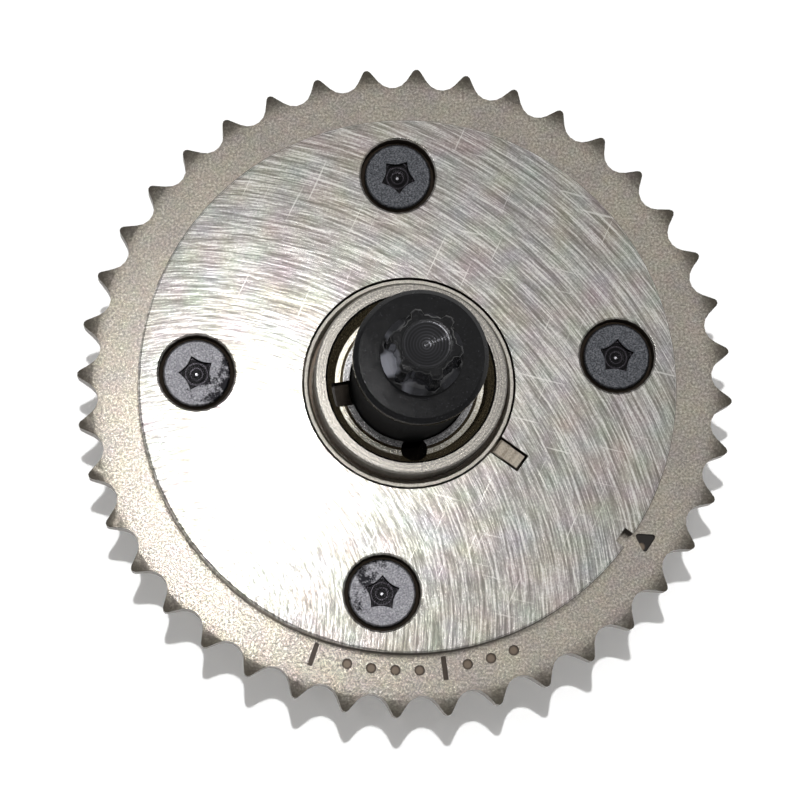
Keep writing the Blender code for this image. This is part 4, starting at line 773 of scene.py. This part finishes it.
class SPROCKET_OT_screws(bpy.types.Operator):
    """Finish the four cover screws, two of them worn bright"""
    bl_idname = "sprocket.screws"
    bl_label = "Cover Screws"

    def execute(self, context):
        settings = context.scene.sprocket_finish
        for index, (worn, lean) in enumerate(SCREW_WEAR):
            node = f"cover_screw_{index + 1}"
            low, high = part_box(node)
            centre = ((low.x + high.x) / 2 / MM, (low.y + high.y) / 2 / MM, 0.0)
            name = f"phosphated_screw_{index + 1}"
            material = phosphated_screw(settings, name, centre, worn, lean)
            mesh = smooth_copy(node, settings.rounding)
            finish_piece(f"socket_screw_{index + 1}", mesh, node, material)
        return {"FINISHED"}


class SPROCKET_OT_hub(bpy.types.Operator):
    """Finish the rotor with its hub, the bush round it and the return spring"""
    bl_idname = "sprocket.hub"
    bl_label = "Hub, Bush and Spring"

    def execute(self, context):
        settings = context.scene.sprocket_finish
        material = hub_steel(settings)
        finish_piece("vane_rotor", smooth_copy("rotor", settings.rounding), "rotor", material)
        turned = shared_finish(*SHARED_FINISHES["machined_steel"])
        finish_piece("hub_bush", smooth_copy("front_bush", settings.rounding), "front_bush", turned)
        tempered = shared_finish(*SHARED_FINISHES["spring_steel"])
        finish_piece("wound_spring", smooth_copy("return_spring", settings.rounding), "return_spring",
                     tempered)
        return {"FINISHED"}


class SPROCKET_OT_bolt(bpy.types.Operator):
    """Finish the central bolt in oiled black oxide"""
    bl_idname = "sprocket.bolt"
    bl_label = "Central Bolt"

    def execute(self, context):
        settings = context.scene.sprocket_finish
        material = black_oxide(settings)
        mesh = smooth_copy("central_bolt", settings.rounding)
        finish_piece("star_head_bolt", mesh, "central_bolt", material)
        return {"FINISHED"}


class SPROCKET_OT_inner(bpy.types.Operator):
    """Give the hidden seals, springs, pin, bush and dowel their materials"""
    bl_idname = "sprocket.inner"
    bl_label = "Inner Pieces"

    def execute(self, context):
        for slot, nodes in INNER_NODES.items():
            material = shared_finish(*SHARED_FINISHES[slot])
            for node in nodes:
                paint_node(node, material)
        return {"FINISHED"}


class SPROCKET_OT_stage(bpy.types.Operator):
    """Set the floor, the lamps, the sky and the camera"""
    bl_idname = "sprocket.stage"
    bl_label = "Stage"

    def execute(self, context):
        settings = context.scene.sprocket_stage
        scene = context.scene
        scene.view_settings.view_transform = "Standard"
        mesh = bmesh.new()
        bmesh.ops.create_grid(mesh, x_segments=1, y_segments=1, size=settings.floor_size / 2)
        data = bpy.data.meshes.new("floor")
        mesh.to_mesh(data)
        mesh.free()
        floor = bpy.data.objects.new("floor", data)
        scene.collection.objects.link(floor)
        data.materials.append(self.table_material())
        key = self.lamp("small_lamp", "POINT", settings.lamp_power, settings.lamp_place, SMALL_WIDTH)
        key.visible_glossy = False
        self.lamp("glint_lamp", "POINT", settings.glint_power, settings.lamp_place, GLINT_WIDTH)
        self.lamp("soft_lamp", "AREA", settings.soft_power, settings.soft_place, SOFT_WIDTH)
        self.lamp("side_lamp", "AREA", settings.side_power, settings.side_place, SIDE_WIDTH)
        self.sky(scene, settings)
        camera = bpy.data.cameras.new("camera")
        camera.lens = settings.lens
        camera.sensor_width = SENSOR_WIDTH
        camera.clip_end = FAR_VIEW
        viewer = bpy.data.objects.new("camera", camera)
        tilt_x, tilt_y = settings.camera_tilt
        turn = Matrix.Rotation(tilt_y, 4, "Y") @ Matrix.Rotation(tilt_x, 4, "X")
        viewer.matrix_world = Matrix.Translation(Vector(settings.camera_place)) @ turn
        scene.collection.objects.link(viewer)
        scene.camera = viewer
        return {"FINISHED"}

    def lamp(self, name, kind, power, place, width):
        """A lamp above the table: a small ball, or a disk that faces down."""
        data = bpy.data.lights.new(name, kind)
        data.energy = power
        if kind == "POINT":
            data.shadow_soft_size = width / 2
        else:
            data.shape = "DISK"
            data.size = width
        holder = bpy.data.objects.new(name, data)
        holder.location = place
        bpy.context.scene.collection.objects.link(holder)
        return holder

    def table_material(self):
        """A white table, lifted to full white where the camera or a gloss sees it. Further off than the
        lamps reach, it is white by its own light."""
        material = bpy.data.materials.new("white_table")
        material.use_nodes = True
        tree = material.node_tree
        tree.nodes.remove(tree.nodes["Principled BSDF"])
        path = add(tree, "ShaderNodeLightPath").node
        seen = add(tree, "ShaderNodeMath", {0: path.outputs["Is Camera Ray"],
                                            1: path.outputs["Is Glossy Ray"]}, operation="MAXIMUM")
        seen = add(tree, "ShaderNodeMath", {0: seen, 1: path.outputs["Is Transmission Ray"]},
                   operation="MAXIMUM")
        level = add(tree, "ShaderNodeMapRange", {"Value": seen, "To Min": TABLE_WHITE, "To Max": TABLE_SEEN})
        diffuse = add(tree, "ShaderNodeBsdfDiffuse", {"Color": level})
        white = add(tree, "ShaderNodeEmission", {"Color": "#ffffff", "Strength": 1.0})
        where = add(tree, "ShaderNodeTexCoord", out="Object")
        away = add(tree, "ShaderNodeVectorMath", {0: where}, operation="LENGTH", out="Value")
        away = add(tree, "ShaderNodeMapRange", {"Value": away, "From Min": TABLE_NEAR,
                                                "From Max": TABLE_FAR})
        away = add(tree, "ShaderNodeMath", {0: away, 1: seen}, operation="MULTIPLY")
        surface = add(tree, "ShaderNodeMixShader", {0: away, 1: diffuse, 2: white})
        tree.links.new(surface, tree.nodes["Material Output"].inputs["Surface"])
        return material

    def sky(self, scene, settings):
        """Light from all round: a pale ceiling overhead that falls off towards the walls. The camera
        sees it white."""
        world = bpy.data.worlds.new("sky")
        scene.world = world
        world.use_nodes = True
        tree = world.node_tree
        upward = add(tree, "ShaderNodeTexCoord", out="Generated")
        rise = add(tree, "ShaderNodeSeparateXYZ", {0: upward}, out="Z")
        level = add(tree, "ShaderNodeValToRGB", {0: rise}, SKY_LEVELS)
        path = add(tree, "ShaderNodeLightPath").node
        level = add(tree, "ShaderNodeMix", {0: path.outputs["Is Camera Ray"], 6: level, 7: "#ffffff"},
                    data_type="RGBA", out=2)
        ground = tree.nodes["Background"]
        tree.links.new(level, ground.inputs["Color"])
        ground.inputs["Strength"].default_value = settings.sky_level


class SPROCKET_PT_panel(bpy.types.Panel):
    """Lists the pieces' operators and their settings"""
    bl_idname = "SPROCKET_PT_panel"
    bl_label = "Camshaft Sprocket"
    bl_space_type = "VIEW_3D"
    bl_region_type = "UI"
    bl_category = "Sprocket"

    def draw(self, context):
        for operator in OPERATORS:
            self.layout.operator(operator.bl_idname)
        for group in (context.scene.sprocket_finish, context.scene.sprocket_stage):
            for name in group.__annotations__:
                self.layout.prop(group, name)


OPERATORS = (SPROCKET_OT_housing, SPROCKET_OT_cover, SPROCKET_OT_screws, SPROCKET_OT_hub,
             SPROCKET_OT_bolt, SPROCKET_OT_inner, SPROCKET_OT_stage)
CLASSES = (FinishSettings, StageSettings, *OPERATORS, SPROCKET_PT_panel)


def register():
    """Adds the classes and the scene's settings."""
    for item in CLASSES:
        bpy.utils.register_class(item)
    bpy.types.Scene.sprocket_finish = bpy.props.PointerProperty(type=FinishSettings)
    bpy.types.Scene.sprocket_stage = bpy.props.PointerProperty(type=StageSettings)


def unregister():
    """Removes what register added."""
    del bpy.types.Scene.sprocket_stage
    del bpy.types.Scene.sprocket_finish
    for item in reversed(CLASSES):
        bpy.utils.unregister_class(item)


def main():
    """Finishes the pieces in order."""
    register()
    bpy.ops.sprocket.housing()
    bpy.ops.sprocket.cover()
    bpy.ops.sprocket.screws()
    bpy.ops.sprocket.hub()
    bpy.ops.sprocket.bolt()
    bpy.ops.sprocket.inner()
    bpy.ops.sprocket.stage()


if __name__ == "__main__":
    main()
